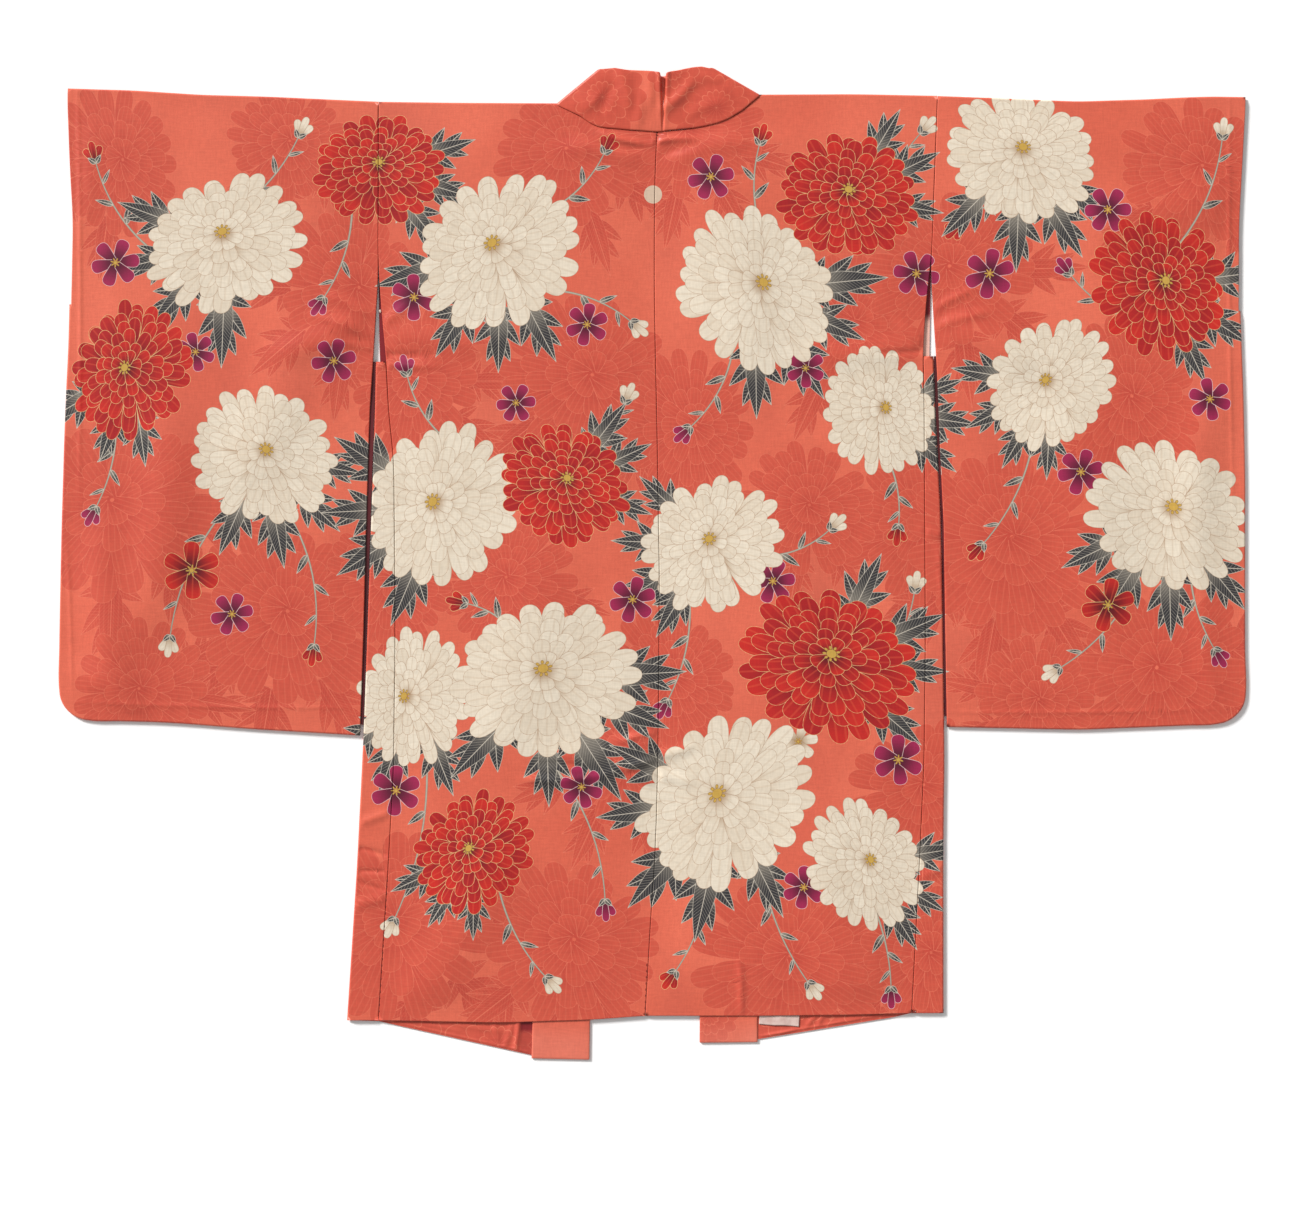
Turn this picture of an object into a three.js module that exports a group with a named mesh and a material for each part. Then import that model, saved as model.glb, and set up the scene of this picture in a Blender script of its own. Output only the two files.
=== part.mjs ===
// A long-sleeved haori, the silk jacket worn over a kimono, laid flat on its front with its back up.
// Each half of the body is one length of cloth that runs over the shoulder without a seam. Each sleeve
// is one length folded along its top and closed below the cuff. A gusset is let in at each side, and
// one doubled band makes the collar: it passes round the neck and down both front edges to the hem.
//
// Millimetres. X points to the wearer's right, Y from hem to collar, Z up off the surface it lies on.
// The tables start from the nape: x from the centre back, y from the shoulder line, negative to the hem.
// The two halves are both built outward from the centre, and the left one is then turned over in X.
import * as THREE from "three";

// ---------- driving sizes ----------
const WALL = 1.2; // one lined wall: outer silk and its lining
const SEAM_GAP = 0.3; // between two pieces sewn edge to edge
const BACK_UNDERSIDE = 2.9; // height of the back's underside, over fronts, linings and front bands
const CUFF_OPENING = 235; // length of the sleeve mouth, down from the shoulder
const CORNER_RADIUS = 31; // rounded outer corner at a sleeve's bottom
const PILLOW = { height: 1.3, margin: 55 }; // how far a panel stands up between its seams
const BAND = { wall: 1.1, half: 0.7, frontZ: 1.25, neckZ: 4.35 }; // half: from its middle to either wall
// The lining strip inside a sleeve's open edge. foot: how far above the sleeve's bottom it ends.
const LINING = { wall: 1.0, z: 1.5, hidden: 26, shown: 5, clear: 0.4, foot: 12 };
const LABEL = { x: 134.4, y: -1009.5, width: 44, depth: 14, thickness: 1.0, turn: -3 };

const FRONT_Z = WALL / 2;
const BACK_Z = BACK_UNDERSIDE + WALL / 2;
const FOLD_REACH = (BACK_Z - FRONT_Z) / 2 + WALL / 2; // how far a folded edge stands past its walls

// Points of the sheets.
const FOLD_STEPS = 3; // between the two walls round a fold
const BODY_ROWS = 18;
const SHOULDER_COLUMNS = 8;
const SLEEVE_ROWS = 14; // down to the rounded corner
const SLEEVE_COLUMNS = 8; // out to the rounded corner
const CORNER_STEPS = 3;
const GUSSET_COLUMNS = 2;
const LINING_ROWS = 14;
const FRONT_BAND_ROWS = 12;
const BAND_COLUMNS = 3;
const BAND_TURN_STEPS = 4;

// The largest folds: middle, direction in degrees from +X, length, width from crest to foot, height.
const FOLDS = [
  { x: -548, y: -470, turn: 82, length: 260, width: 34, height: 3.2 }, // left sleeve, a long soft roll
  { x: -604, y: -560, turn: 96, length: 190, width: 24, height: 2.2 },
  { x: -420, y: -330, turn: 70, length: 200, width: 36, height: 1.8 },
  { x: -372, y: -262, turn: 24, length: 100, width: 16, height: 1.8 }, // pull from the slit
  { x: -596, y: -650, turn: -38, length: 90, width: 14, height: 1.4 }, // across the corner
  { x: 362, y: -270, turn: -28, length: 110, width: 17, height: 1.9 }, // right sleeve, from the slit
  { x: 470, y: -450, turn: 104, length: 240, width: 36, height: 2.4 },
  { x: 596, y: -420, turn: 84, length: 220, width: 26, height: 2.0 },
  { x: 560, y: -120, turn: 12, length: 170, width: 30, height: 1.6 },
  { x: -42, y: -52, turn: -9, length: 120, width: 12, height: 2.6 }, // roll under the collar's seam
  { x: 48, y: -50, turn: 12, length: 110, width: 12, height: 2.2 },
  { x: -236, y: -262, turn: -6, length: 130, width: 15, height: 1.3 }, // body, across from the slits
  { x: 226, y: -276, turn: 5, length: 130, width: 15, height: 1.4 },
  { x: 86, y: -190, turn: 96, length: 260, width: 40, height: 1.8 },
  { x: -150, y: -610, turn: 78, length: 300, width: 46, height: 1.9 },
  { x: 150, y: -560, turn: 100, length: 320, width: 50, height: 1.7 },
  { x: -60, y: -720, turn: 4, length: 130, width: 18, height: 1.3 }, // pucker at the centre back
  { x: -214, y: -905, turn: 64, length: 210, width: 34, height: 2.2 }, // above the hem
  { x: 196, y: -900, turn: 108, length: 220, width: 36, height: 1.9 },
];

// ---------- outlines ----------
// The seam down the centre back.
const CENTRE_SEAM = [
  { y: -34.5, centre: 0 },
  { y: -103, centre: -2.6 },
  { y: -219, centre: -2.8 },
  { y: -378, centre: 0.5 },
  { y: -532, centre: 2.8 },
  { y: -712, centre: 1.3 },
  { y: -819, centre: -1.3 },
  { y: -899, centre: -6.7 },
  { y: -1006, centre: -12.9 },
];

// One half each: sections down from the shoulder, with the distance of each edge from the centre back,
// then the edges that run across, from the centre out. side is the back's edge and frontSide the front's.
const LEFT = {
  sign: -1,
  gussetTop: -287,
  sections: [
    { y: 11, sleeveOuter: 649.8 },
    { y: -3, sleeveInner: 306.1, side: 305.8, frontSide: 305.8 },
    { y: -50, sleeveOuter: 648.5 },
    { y: -138, sleeveOuter: 644 },
    { y: -200, sleeveInner: 306.5, side: 306.2, frontSide: 306.2 },
    { y: -241, side: 301.4 },
    { y: -262, sleeveOuter: 646.8 },
    { y: -287, sleeveInner: 312, gussetFold: 309.1, side: 297.6, frontSide: 304.4 },
    { y: -345, sleeveOuter: 650.8, sleeveInner: 315.8, gussetFold: 310.2, side: 294.3, frontSide: 300.2 },
    { y: -402, side: 288.9, frontSide: 294.9 },
    { y: -474, sleeveOuter: 654.7, sleeveInner: 319.7, gussetFold: 314.6 },
    { y: -593, sleeveOuter: 657.1, sleeveInner: 322.7, gussetFold: 318.7, side: 287.4, frontSide: 291.4 },
    { y: -698, sleeveOuter: 657.3, sleeveInner: 326.4, gussetFold: 322.6 },
    { y: -739, side: 289.5, frontSide: 292.5 },
    { y: -846, gussetFold: 330.1, side: 295.4, frontSide: 297.4 },
    { y: -1012, gussetFold: 340.8, side: 306, frontSide: 306 },
  ],
  neckline: [
    { out: 0, y: -34.5 },
    { out: 40.7, y: -31.4 },
    { out: 68.2, y: -27.4 },
    { out: 85.8, y: -16.5 },
    { out: 109.8, y: -5 },
  ],
  shoulder: [
    { out: 109.8, y: -5 },
    { out: 220, y: -4.4 },
    { out: 305.8, y: -3.3 },
  ],
  hem: [
    { out: 12.9, y: -1006 },
    { out: 73.7, y: -1010.4 },
    { out: 172.7, y: -1013.5 },
    { out: 306, y: -1011 },
  ],
  frontHem: [
    { out: 138, y: -1049.1 },
    { out: 306, y: -1012 },
  ],
  sleeveTop: [
    { out: 306.1, y: -3.2 },
    { out: 430.1, y: 2.4 },
    { out: 502.7, y: 4.5 },
    { out: 577.5, y: 9.1 },
    { out: 649.8, y: 11.4 },
  ],
  sleeveBottom: [
    { out: 326.4, y: -698 },
    { out: 451.4, y: -690.5 },
    { out: 537.2, y: -683.7 },
    { out: 657.3, y: -680.5 },
  ],
};
const RIGHT = {
  sign: 1,
  gussetTop: -281,
  sections: [
    { y: 3, sleeveOuter: 649, sleeveInner: 308.4, side: 308, frontSide: 308 },
    { y: -37, sleeveOuter: 647.2 },
    { y: -133, sleeveOuter: 642 },
    { y: -191, sleeveInner: 301.3, side: 300.9, frontSide: 300.9 },
    { y: -216, sleeveInner: 302.6, side: 296.5 },
    { y: -228, sleeveOuter: 641.3 },
    { y: -281, sleeveInner: 306.8, gussetFold: 303.8, side: 292.6, frontSide: 299.4 },
    { y: -326, sleeveOuter: 644.8, sleeveInner: 308.9, gussetFold: 305.1, side: 293.4, frontSide: 298.3 },
    { y: -385, sleeveInner: 311, gussetFold: 308 },
    { y: -413, sleeveOuter: 646.6 },
    { y: -462, sleeveInner: 314.9, gussetFold: 312.3 },
    { y: -593, sleeveOuter: 646.5, sleeveInner: 317, gussetFold: 314.5, side: 294.9, frontSide: 297.9 },
    { y: -689, sleeveOuter: 648, sleeveInner: 318.6 },
    { y: -726, gussetFold: 316, side: 293.3, frontSide: 295.3 },
    { y: -819, gussetFold: 314.8, side: 289.3, frontSide: 290.8 },
    { y: -1003, gussetFold: 315, side: 279.8, frontSide: 279.8 },
  ],
  neckline: [
    { out: 0, y: -34.5 },
    { out: 45.8, y: -29.4 },
    { out: 75.2, y: -21.5 },
    { out: 92.8, y: -11.7 },
    { out: 112.6, y: 4.6 },
  ],
  shoulder: [
    { out: 112.6, y: 4.6 },
    { out: 219.8, y: 5.1 },
    { out: 308, y: 3.3 },
  ],
  hem: [
    { out: -12.9, y: -1006 },
    { out: 110, y: -1006 },
    { out: 212.3, y: -1004.9 },
    { out: 279.8, y: -1003 },
  ],
  frontHem: [
    { out: 110.6, y: -1031.8 },
    { out: 266.2, y: -1006.5 },
    { out: 279.8, y: -1003 },
  ],
  sleeveTop: [
    { out: 308.4, y: 3.1 },
    { out: 377.3, y: 0.7 },
    { out: 456.3, y: -2.9 },
    { out: 528, y: -1.1 },
    { out: 603.9, y: 2.6 },
    { out: 649, y: 1.9 },
  ],
  sleeveBottom: [
    { out: 318.6, y: -688.6 },
    { out: 462.6, y: -691.6 },
    { out: 555.9, y: -688.2 },
    { out: 648, y: -684 },
  ],
};

// The band's turn round the neck, from the wearer's left to right: its sewn edge, its free edge, and
// the height of its middle at each. At the nape the spare length drops into a narrow pleat.
const NECK_BAND = [
  { sewn: [-85.6, -16.1], free: [-47, 34.6], sewnZ: 4.3, freeZ: 4.7 },
  { sewn: [-67.9, -27.0], free: [-34, 32.4], sewnZ: 4.3, freeZ: 5.2 },
  { sewn: [-40.6, -31.0], free: [-20, 31.6], sewnZ: 4.3, freeZ: 5.0 },
  { sewn: [-14.0, -33.0], free: [-8, 30.9], sewnZ: 4.3, freeZ: 5.6 },
  { sewn: [1.4, -34.0], free: [1.2, 28.0], sewnZ: 4.4, freeZ: 6.4 }, // left lip of the pleat
  { sewn: [5.2, -33.5], free: [4.6, 25.6], sewnZ: 4.2, freeZ: 3.2 },
  { sewn: [6.6, -33.3], free: [7.0, 24.8], sewnZ: 4.1, freeZ: 1.4 }, // bottom of the pleat
  { sewn: [8.2, -33.1], free: [9.6, 25.6], sewnZ: 4.2, freeZ: 3.2 },
  { sewn: [12.0, -32.7], free: [13.2, 28.0], sewnZ: 4.4, freeZ: 6.6 }, // right lip
  { sewn: [24.0, -31.4], free: [21, 31.2], sewnZ: 4.4, freeZ: 5.9 },
  { sewn: [45.7, -29.0], free: [31, 33.4], sewnZ: 4.3, freeZ: 5.1 },
  { sewn: [75.0, -21.1], free: [42, 35.4], sewnZ: 4.3, freeZ: 5.0 },
  { sewn: [92.4, -11.3], free: [50, 36.2], sewnZ: 4.3, freeZ: 4.6 },
];
// Down each front: from the fold at the side of the neck to the band's end at the front hem.
const LEFT_BAND = {
  neckSewn: [-107.2, -4.8],
  neckFree: [-60.5, 34.2],
  hemSewn: [-137.4, -1053],
  hemFree: [-75.5, -1054.4],
};
const RIGHT_BAND = {
  neckSewn: [110.2, 4.6],
  neckFree: [57.5, 35.2],
  hemSewn: [110, -1035.1],
  hemFree: [48, -1035.8],
};

// ---------- sheets of cloth ----------
// A sheet is the middle surface of a wall: points with the way their outer face looks, and four-sided faces.
class Sheet {
  constructor() {
    this.points = [];
    this.faces = [];
  }
  add(position, outward) {
    this.points.push({ position, outward });
    return this.points.length - 1;
  }
  // Fills a grid of points with faces. Their order turns with the way the outer face looks.
  fill(ids, turned = false) {
    for (let j = 0; j + 1 < ids.length; j++)
      for (let i = 0; i + 1 < ids[j].length; i++) {
        const face = [ids[j][i], ids[j + 1][i], ids[j + 1][i + 1], ids[j][i + 1]];
        this.faces.push(turned ? face.reverse() : face);
      }
  }
  // The closed solid of a wall of that thickness: outer face, inner face and a strip along each free edge.
  thicken(thickness) {
    const position = [];
    for (const half of [0.5, -0.5])
      for (const point of this.points)
        position.push(...point.position.clone().addScaledVector(point.outward, half * thickness));
    const inner = this.points.length;
    const index = [];
    const quad = (a, b, c, d) => index.push(a, b, c, a, c, d);
    const edges = new Map();
    for (const face of this.faces) {
      quad(...face);
      quad(...face.map((id) => id + inner).reverse());
      face.forEach((from, k) => edges.set(`${from} ${face[(k + 1) % 4]}`, [from, face[(k + 1) % 4]]));
    }
    for (const [from, to] of edges.values())
      if (!edges.has(`${to} ${from}`)) quad(to, from, from + inner, to + inner);
    const geometry = new THREE.BufferGeometry();
    geometry.setAttribute("position", new THREE.Float32BufferAttribute(position, 3));
    geometry.setIndex(index);
    geometry.computeVertexNormals();
    return geometry;
  }
}

const spread = (count) => Array.from({ length: count + 1 }, (_, k) => k / count);
const last = (list) => list[list.length - 1];

// Even shares of an edge, with a few closer ones at its end where the corner is rounded.
const sharesToCorner = (count, corner) => [
  ...spread(count).map((share) => share * (1 - corner)),
  ...spread(CORNER_STEPS).slice(1).map((share) => 1 - corner + share * corner),
];

// The value in a column at height y, between the two sections that give one.
function read(sections, column, y) {
  const rows = sections.filter((row) => column in row);
  const below = rows.findIndex((row) => row.y < y);
  if (below === 0) return rows[0][column];
  if (below < 0) return last(rows)[column];
  const upper = rows[below - 1];
  const lower = rows[below];
  return THREE.MathUtils.mapLinear(y, upper.y, lower.y, upper[column], lower[column]);
}

// An edge that runs down, at the given shares from its top to its bottom.
function downEdge(sections, column, top, bottom, shares, dx = 0) {
  return shares.map((share) => {
    const y = THREE.MathUtils.lerp(top, bottom, share);
    return new THREE.Vector2(read(sections, column, y) + dx, y);
  });
}

// An edge that runs across, at the given shares of its length.
function acrossEdge(table, shares, dy = 0) {
  const line = new THREE.CurvePath();
  const corners = table.map(({ out, y }) => new THREE.Vector2(out, y + dy));
  for (let k = 0; k + 1 < corners.length; k++) line.add(new THREE.LineCurve(corners[k], corners[k + 1]));
  return shares.map((share) => line.getPointAt(share));
}

// The grid of points between four edges, each a list of points.
function fillBetween({ top, bottom, inner, outer }, columns, rows) {
  const mix = (a, b, share) => a.clone().lerp(b, share);
  return rows.map((down, j) =>
    columns.map((across, i) => {
      const corners = mix(mix(top[0], last(top), across), mix(bottom[0], last(bottom), across), down);
      return mix(inner[j], outer[j], across).add(mix(top[i], bottom[i], down)).sub(corners);
    }),
  );
}

// How far the back stands above its rest height: the pillow between its seams, and the folds.
function relief(point, rim, sign) {
  const inset = Math.min(...rim.map((edge) => edge.distanceTo(point)));
  const rise = (width) => THREE.MathUtils.smoothstep(inset, 0, width);
  let height = PILLOW.height * rise(PILLOW.margin);
  for (const fold of FOLDS) {
    const from = new THREE.Vector2(point.x * sign - fold.x, point.y - fold.y);
    from.rotateAround(new THREE.Vector2(), -THREE.MathUtils.degToRad(fold.turn));
    const along = (2 * from.x) / fold.length;
    const across = from.y / fold.width;
    height += fold.height * Math.exp(-(along ** 4) - across ** 2) * rise(fold.width);
  }
  return height;
}

// Adds the upper wall of a folded piece, which looks up, or the lower one, which lies flat and looks down.
function addBack(sheet, grid, sign) {
  const rim = [...grid[0], ...last(grid), ...grid.map((row) => row[0]), ...grid.map(last)];
  const up = new THREE.Vector3(0, 0, 1);
  const place = (point) => new THREE.Vector3(point.x, point.y, BACK_Z + relief(point, rim, sign));
  const ids = grid.map((row) => row.map((point) => sheet.add(place(point), up)));
  sheet.fill(ids);
  return ids;
}
function addFront(sheet, grid) {
  const down = new THREE.Vector3(0, 0, -1);
  const place = (point) => new THREE.Vector3(point.x, point.y, FRONT_Z);
  const ids = grid.map((row) => row.map((point) => sheet.add(place(point), down)));
  sheet.fill(ids, true);
  return ids;
}

// Joins a back edge to a front edge round a fold. Both run with the cloth on their left, seen from above.
function addFold(sheet, backEdge, frontEdge) {
  const at = (id) => sheet.points[id].position;
  const rings = backEdge.map((back, k) => {
    const before = at(backEdge[Math.max(k - 1, 0)]);
    const after = at(backEdge[Math.min(k + 1, backEdge.length - 1)]);
    const outside = new THREE.Vector3(after.y - before.y, before.x - after.x, 0).normalize();
    const middle = at(back).clone().add(at(frontEdge[k])).multiplyScalar(0.5);
    const radius = (at(back).z - at(frontEdge[k]).z) / 2;
    const bend = spread(FOLD_STEPS + 1).slice(1, -1).map((share) => {
      const angle = Math.PI * (0.5 - share);
      const outward = outside.clone().multiplyScalar(Math.cos(angle)).setZ(Math.sin(angle));
      return sheet.add(middle.clone().addScaledVector(outward, radius), outward);
    });
    return [back, ...bend, frontEdge[k]];
  });
  sheet.fill(rings, true);
}

// ---------- pieces ----------
const silk = new THREE.MeshStandardMaterial({ color: 0xe2694f, roughness: 0.55, metalness: 0 });
const bandSilk = new THREE.MeshStandardMaterial({ color: 0xd5604c, roughness: 0.5, metalness: 0 });
const redSilk = new THREE.MeshStandardMaterial({ color: 0xa11624, roughness: 0.6, metalness: 0 });
const tape = new THREE.MeshStandardMaterial({ color: 0xd9cdc6, roughness: 0.85, metalness: 0 });
const haori = new THREE.Group();

function addPiece(name, geometry, material, sign = 1) {
  const mesh = new THREE.Mesh(geometry, material);
  mesh.name = name;
  mesh.scale.x = sign;
  haori.add(mesh);
}

// One half of the body: the back, over the shoulder, and the front. The back alone goes on past the
// neck point to the centre back. Returns the points of both side edges below the slit.
function addBody(name, half) {
  const { sections, sign } = half;
  const top = last(half.shoulder).y;
  const hem = last(half.hem).y;
  const rows = spread(BODY_ROWS);
  const gussetShare = (top - half.gussetTop) / (top - hem);
  const gussetRow = Math.round(gussetShare * BODY_ROWS);
  rows[gussetRow] = gussetShare;

  const shoulder = acrossEdge(half.shoulder, spread(SHOULDER_COLUMNS));
  const neckline = half.neckline.slice(0, -1).map(({ out, y }) => new THREE.Vector2(out, y));
  const columns = spread(neckline.length + SHOULDER_COLUMNS);
  const seam = rows.map((share) => {
    const y = THREE.MathUtils.lerp(CENTRE_SEAM[0].y, last(CENTRE_SEAM).y, share);
    return new THREE.Vector2(sign * read(CENTRE_SEAM, "centre", y) + SEAM_GAP / 2, y);
  });
  const back = fillBetween(
    {
      top: [seam[0], ...neckline.slice(1), ...shoulder],
      bottom: [last(seam), ...acrossEdge(half.hem, columns).slice(1)],
      inner: seam,
      outer: downEdge(sections, "side", top, hem, rows),
    },
    columns,
    rows,
  );
  const shoulderColumns = spread(SHOULDER_COLUMNS);
  const front = fillBetween(
    {
      top: shoulder,
      bottom: acrossEdge(half.frontHem, shoulderColumns),
      inner: acrossEdge([half.shoulder[0], half.frontHem[0]], rows),
      outer: downEdge(sections, "frontSide", top, last(half.frontHem).y, rows),
    },
    shoulderColumns,
    rows,
  );
  const sheet = new Sheet();
  const backIds = addBack(sheet, back, sign);
  const frontIds = addFront(sheet, front);
  const overShoulder = backIds[0].slice(neckline.length);
  addFold(sheet, overShoulder.reverse(), [...frontIds[0]].reverse());
  addPiece(name, sheet.thicken(WALL), silk, sign);
  return { back: back.slice(gussetRow).map(last), front: front.slice(gussetRow).map(last) };
}

// Draws the outer bottom corner of a grid in, from a square to a quarter of a disc.
function roundCorner(grid) {
  const corner = last(last(grid));
  const pivot = new THREE.Vector2(corner.x - CORNER_RADIUS, corner.y + CORNER_RADIUS);
  for (const point of grid.flat()) {
    const out = (point.x - pivot.x) / CORNER_RADIUS;
    const down = (pivot.y - point.y) / CORNER_RADIUS;
    if (out <= 0 || down <= 0) continue;
    point.x = pivot.x + CORNER_RADIUS * out * Math.sqrt(1 - Math.min(down, 1) ** 2 / 2);
    point.y = pivot.y - CORNER_RADIUS * down * Math.sqrt(1 - Math.min(out, 1) ** 2 / 2);
  }
}

// A sleeve: folded along the top, open at the cuff and towards the body, closed below and at the bottom.
function addSleeve(name, half) {
  const { sections, sign, sleeveTop, sleeveBottom } = half;
  const length = last(sleeveTop).y - last(sleeveBottom).y;
  const width = last(sleeveTop).out - sleeveTop[0].out;
  const rows = sharesToCorner(SLEEVE_ROWS, CORNER_RADIUS / length);
  const columns = sharesToCorner(SLEEVE_COLUMNS, CORNER_RADIUS / width);
  const grid = fillBetween(
    {
      top: acrossEdge(sleeveTop, columns),
      bottom: acrossEdge(sleeveBottom, columns, FOLD_REACH),
      inner: downEdge(sections, "sleeveInner", sleeveTop[0].y, sleeveBottom[0].y + FOLD_REACH, rows),
      outer: downEdge(
        sections,
        "sleeveOuter",
        last(sleeveTop).y,
        last(sleeveBottom).y + FOLD_REACH,
        rows,
        -FOLD_REACH,
      ),
    },
    columns,
    rows,
  );
  roundCorner(grid);
  const sheet = new Sheet();
  const back = addBack(sheet, grid, sign);
  const front = addFront(sheet, grid);
  const cuffRow = Math.round((CUFF_OPENING / length) * SLEEVE_ROWS);
  const closed = (ids) => [...last(ids), ...ids.slice(cuffRow, -1).map(last).reverse()];
  addFold(sheet, [...back[0]].reverse(), [...front[0]].reverse());
  addFold(sheet, closed(back), closed(front));
  addPiece(name, sheet.thicken(WALL), silk, sign);
}

// A gusset: a long wedge creased down its middle, sewn to the back above and to the front below.
function addGusset(name, half, seams) {
  const grid = (seam) =>
    seam.map((point, j) => {
      const y = seams.back[j].y;
      const sewn = new THREE.Vector2(point.x + SEAM_GAP, point.y);
      const fold = new THREE.Vector2(read(half.sections, "gussetFold", y) - FOLD_REACH, y);
      return spread(GUSSET_COLUMNS).map((share) => sewn.clone().lerp(fold, share));
    });
  const sheet = new Sheet();
  const back = addBack(sheet, grid(seams.back), half.sign);
  const front = addFront(sheet, grid(seams.front));
  addFold(sheet, back.map(last).reverse(), front.map(last).reverse());
  addPiece(name, sheet.thicken(WALL), silk, half.sign);
}

// The collar band: two walls joined along the free edge, in rows from the left front's hem round the
// neck to the right front's.
function addCollar() {
  const place = ([x, y], z) => new THREE.Vector3(x, y, z);
  const up = new THREE.Vector3(0, 0, 1);
  const down = new THREE.Vector3(0, 0, -1);
  const alongFront = (band) =>
    spread(FRONT_BAND_ROWS).map((share) => ({
      sewn: place(band.neckSewn, BAND.frontZ).lerp(place(band.hemSewn, BAND.frontZ), share),
      free: place(band.neckFree, BAND.frontZ).lerp(place(band.hemFree, BAND.frontZ), share),
      outward: down,
    }));
  // At the side of the neck the band turns over, round the line from its sewn edge to its free edge.
  const overSide = (band, sign) => {
    const crease = place(band.neckFree, 0).sub(place(band.neckSewn, 0)).normalize();
    const away = new THREE.Vector3(crease.y, -crease.x, 0).multiplyScalar(sign);
    const middleZ = (BAND.frontZ + BAND.neckZ) / 2;
    const radius = (BAND.neckZ - BAND.frontZ) / 2;
    return spread(BAND_TURN_STEPS).map((share) => {
      const angle = Math.PI * (share - 0.5);
      const outward = away.clone().multiplyScalar(Math.cos(angle)).setZ(Math.sin(angle));
      return {
        sewn: place(band.neckSewn, middleZ).addScaledVector(outward, radius),
        free: place(band.neckFree, middleZ).addScaledVector(outward, radius),
        outward,
      };
    });
  };
  const roundNeck = NECK_BAND.map(({ sewn, free, sewnZ, freeZ }) => ({
    sewn: place(sewn, sewnZ),
    free: place(free, freeZ),
    outward: up,
  }));
  const rows = [
    ...alongFront(LEFT_BAND).reverse().slice(0, -1),
    ...overSide(LEFT_BAND, LEFT.sign),
    ...roundNeck,
    ...overSide(RIGHT_BAND, RIGHT.sign).reverse(),
    ...alongFront(RIGHT_BAND).slice(1),
  ];
  const sheet = new Sheet();
  const ids = rows.map(({ sewn, free, outward }) => {
    const across = free.clone().sub(sewn).normalize();
    const wall = (side) =>
      spread(BAND_COLUMNS).map((share) => {
        const middle = sewn.clone().lerp(free, share);
        return sheet.add(
          middle.addScaledVector(outward, side * BAND.half),
          outward.clone().multiplyScalar(side),
        );
      });
    const edge = sheet.add(free.clone().addScaledVector(across, BAND.half), across);
    return [...wall(-1), edge, ...wall(1).reverse()];
  });
  sheet.fill(ids, true);
  addPiece("collar", sheet.thicken(BAND.wall), bandSilk);
}

// The red lining that shows between sleeve and gusset: a strip inside the sleeve's open edge.
function addLining(name, { sections, sign, gussetTop, sleeveBottom }) {
  const z = LINING.z + LINING.wall / 2;
  const up = new THREE.Vector3(0, 0, 1);
  const sheet = new Sheet();
  const bottom = sleeveBottom[0].y + LINING.foot;
  const ids = spread(LINING_ROWS).map((share) => {
    const y = THREE.MathUtils.lerp(gussetTop, bottom, share);
    const open = read(sections, "sleeveInner", y);
    const gap = open - read(sections, "gussetFold", y);
    const shown = THREE.MathUtils.clamp(gap - LINING.clear, 0, LINING.shown);
    return [open - shown, open + LINING.hidden].map((x) => sheet.add(new THREE.Vector3(x, y, z), up));
  });
  sheet.fill(ids);
  addPiece(name, sheet.thicken(LINING.wall), redSilk, sign);
}

for (const [word, half] of [["left", LEFT], ["right", RIGHT]]) {
  const seams = addBody(`body_${word}`, half);
  addSleeve(`sleeve_${word}`, half);
  addGusset(`gusset_${word}`, half, seams);
  addLining(`lining_${word}`, half);
}
addCollar();

// The maker's tape, sewn inside the right front near its hem, with nothing on it.
const label = new THREE.BoxGeometry(LABEL.width, LABEL.depth, LABEL.thickness);
label.rotateZ(THREE.MathUtils.degToRad(LABEL.turn));
label.translate(LABEL.x, LABEL.y, LINING.z + LABEL.thickness / 2);
addPiece("label", label, tape);

// The part's origin: the middle of the garment's outline, on the surface it lies on.
const box = new THREE.Box3().setFromObject(haori);
const middle = box.getCenter(new THREE.Vector3());
haori.position.set(-middle.x, -middle.y, -box.min.z);

export default haori;
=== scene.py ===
from collections import namedtuple
from math import cos, pi, radians, sin, tau

import bmesh
import bpy
import numpy as np
from mathutils import Matrix, Vector
from mathutils.geometry import delaunay_2d_cdt


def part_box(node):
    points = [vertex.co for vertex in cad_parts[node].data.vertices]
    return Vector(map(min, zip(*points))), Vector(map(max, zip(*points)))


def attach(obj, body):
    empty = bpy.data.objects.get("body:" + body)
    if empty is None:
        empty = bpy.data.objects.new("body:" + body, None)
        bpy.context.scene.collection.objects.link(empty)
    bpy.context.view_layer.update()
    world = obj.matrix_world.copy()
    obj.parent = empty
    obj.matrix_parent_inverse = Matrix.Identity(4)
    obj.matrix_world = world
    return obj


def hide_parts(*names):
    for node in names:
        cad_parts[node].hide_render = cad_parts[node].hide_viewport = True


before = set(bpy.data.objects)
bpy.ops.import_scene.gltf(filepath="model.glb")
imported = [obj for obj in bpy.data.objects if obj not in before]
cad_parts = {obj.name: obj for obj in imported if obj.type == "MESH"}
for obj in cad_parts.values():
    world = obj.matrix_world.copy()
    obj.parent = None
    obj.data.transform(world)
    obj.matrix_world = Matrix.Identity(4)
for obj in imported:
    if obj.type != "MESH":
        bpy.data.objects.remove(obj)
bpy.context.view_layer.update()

# ==== Body ====
# Two halves, each one length of painted silk over red lining, back and front in one, joined down
# the centre back. Laid out, the back lies on the front, with a crease over the shoulder, and its
# cloth stands a little proud between seams, in the folds and pulls that handling has left.

MM = 0.001

# The painting: coral silk crepe, dyed through stencils with darker blossoms, then painted
# freehand between lines of resist paste with chrysanthemums and leaves. It is laid out over the
# whole jacket at once, so that it runs across the seams, and each petal is one stroke with a
# colour of its own.
DYES = "ground shade shade_leaf stem leaf cream crimson magenta heart bare".split()
SHOULDER_Y = 508.0  # the front's painting goes on from the back's, turned over this line


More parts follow.
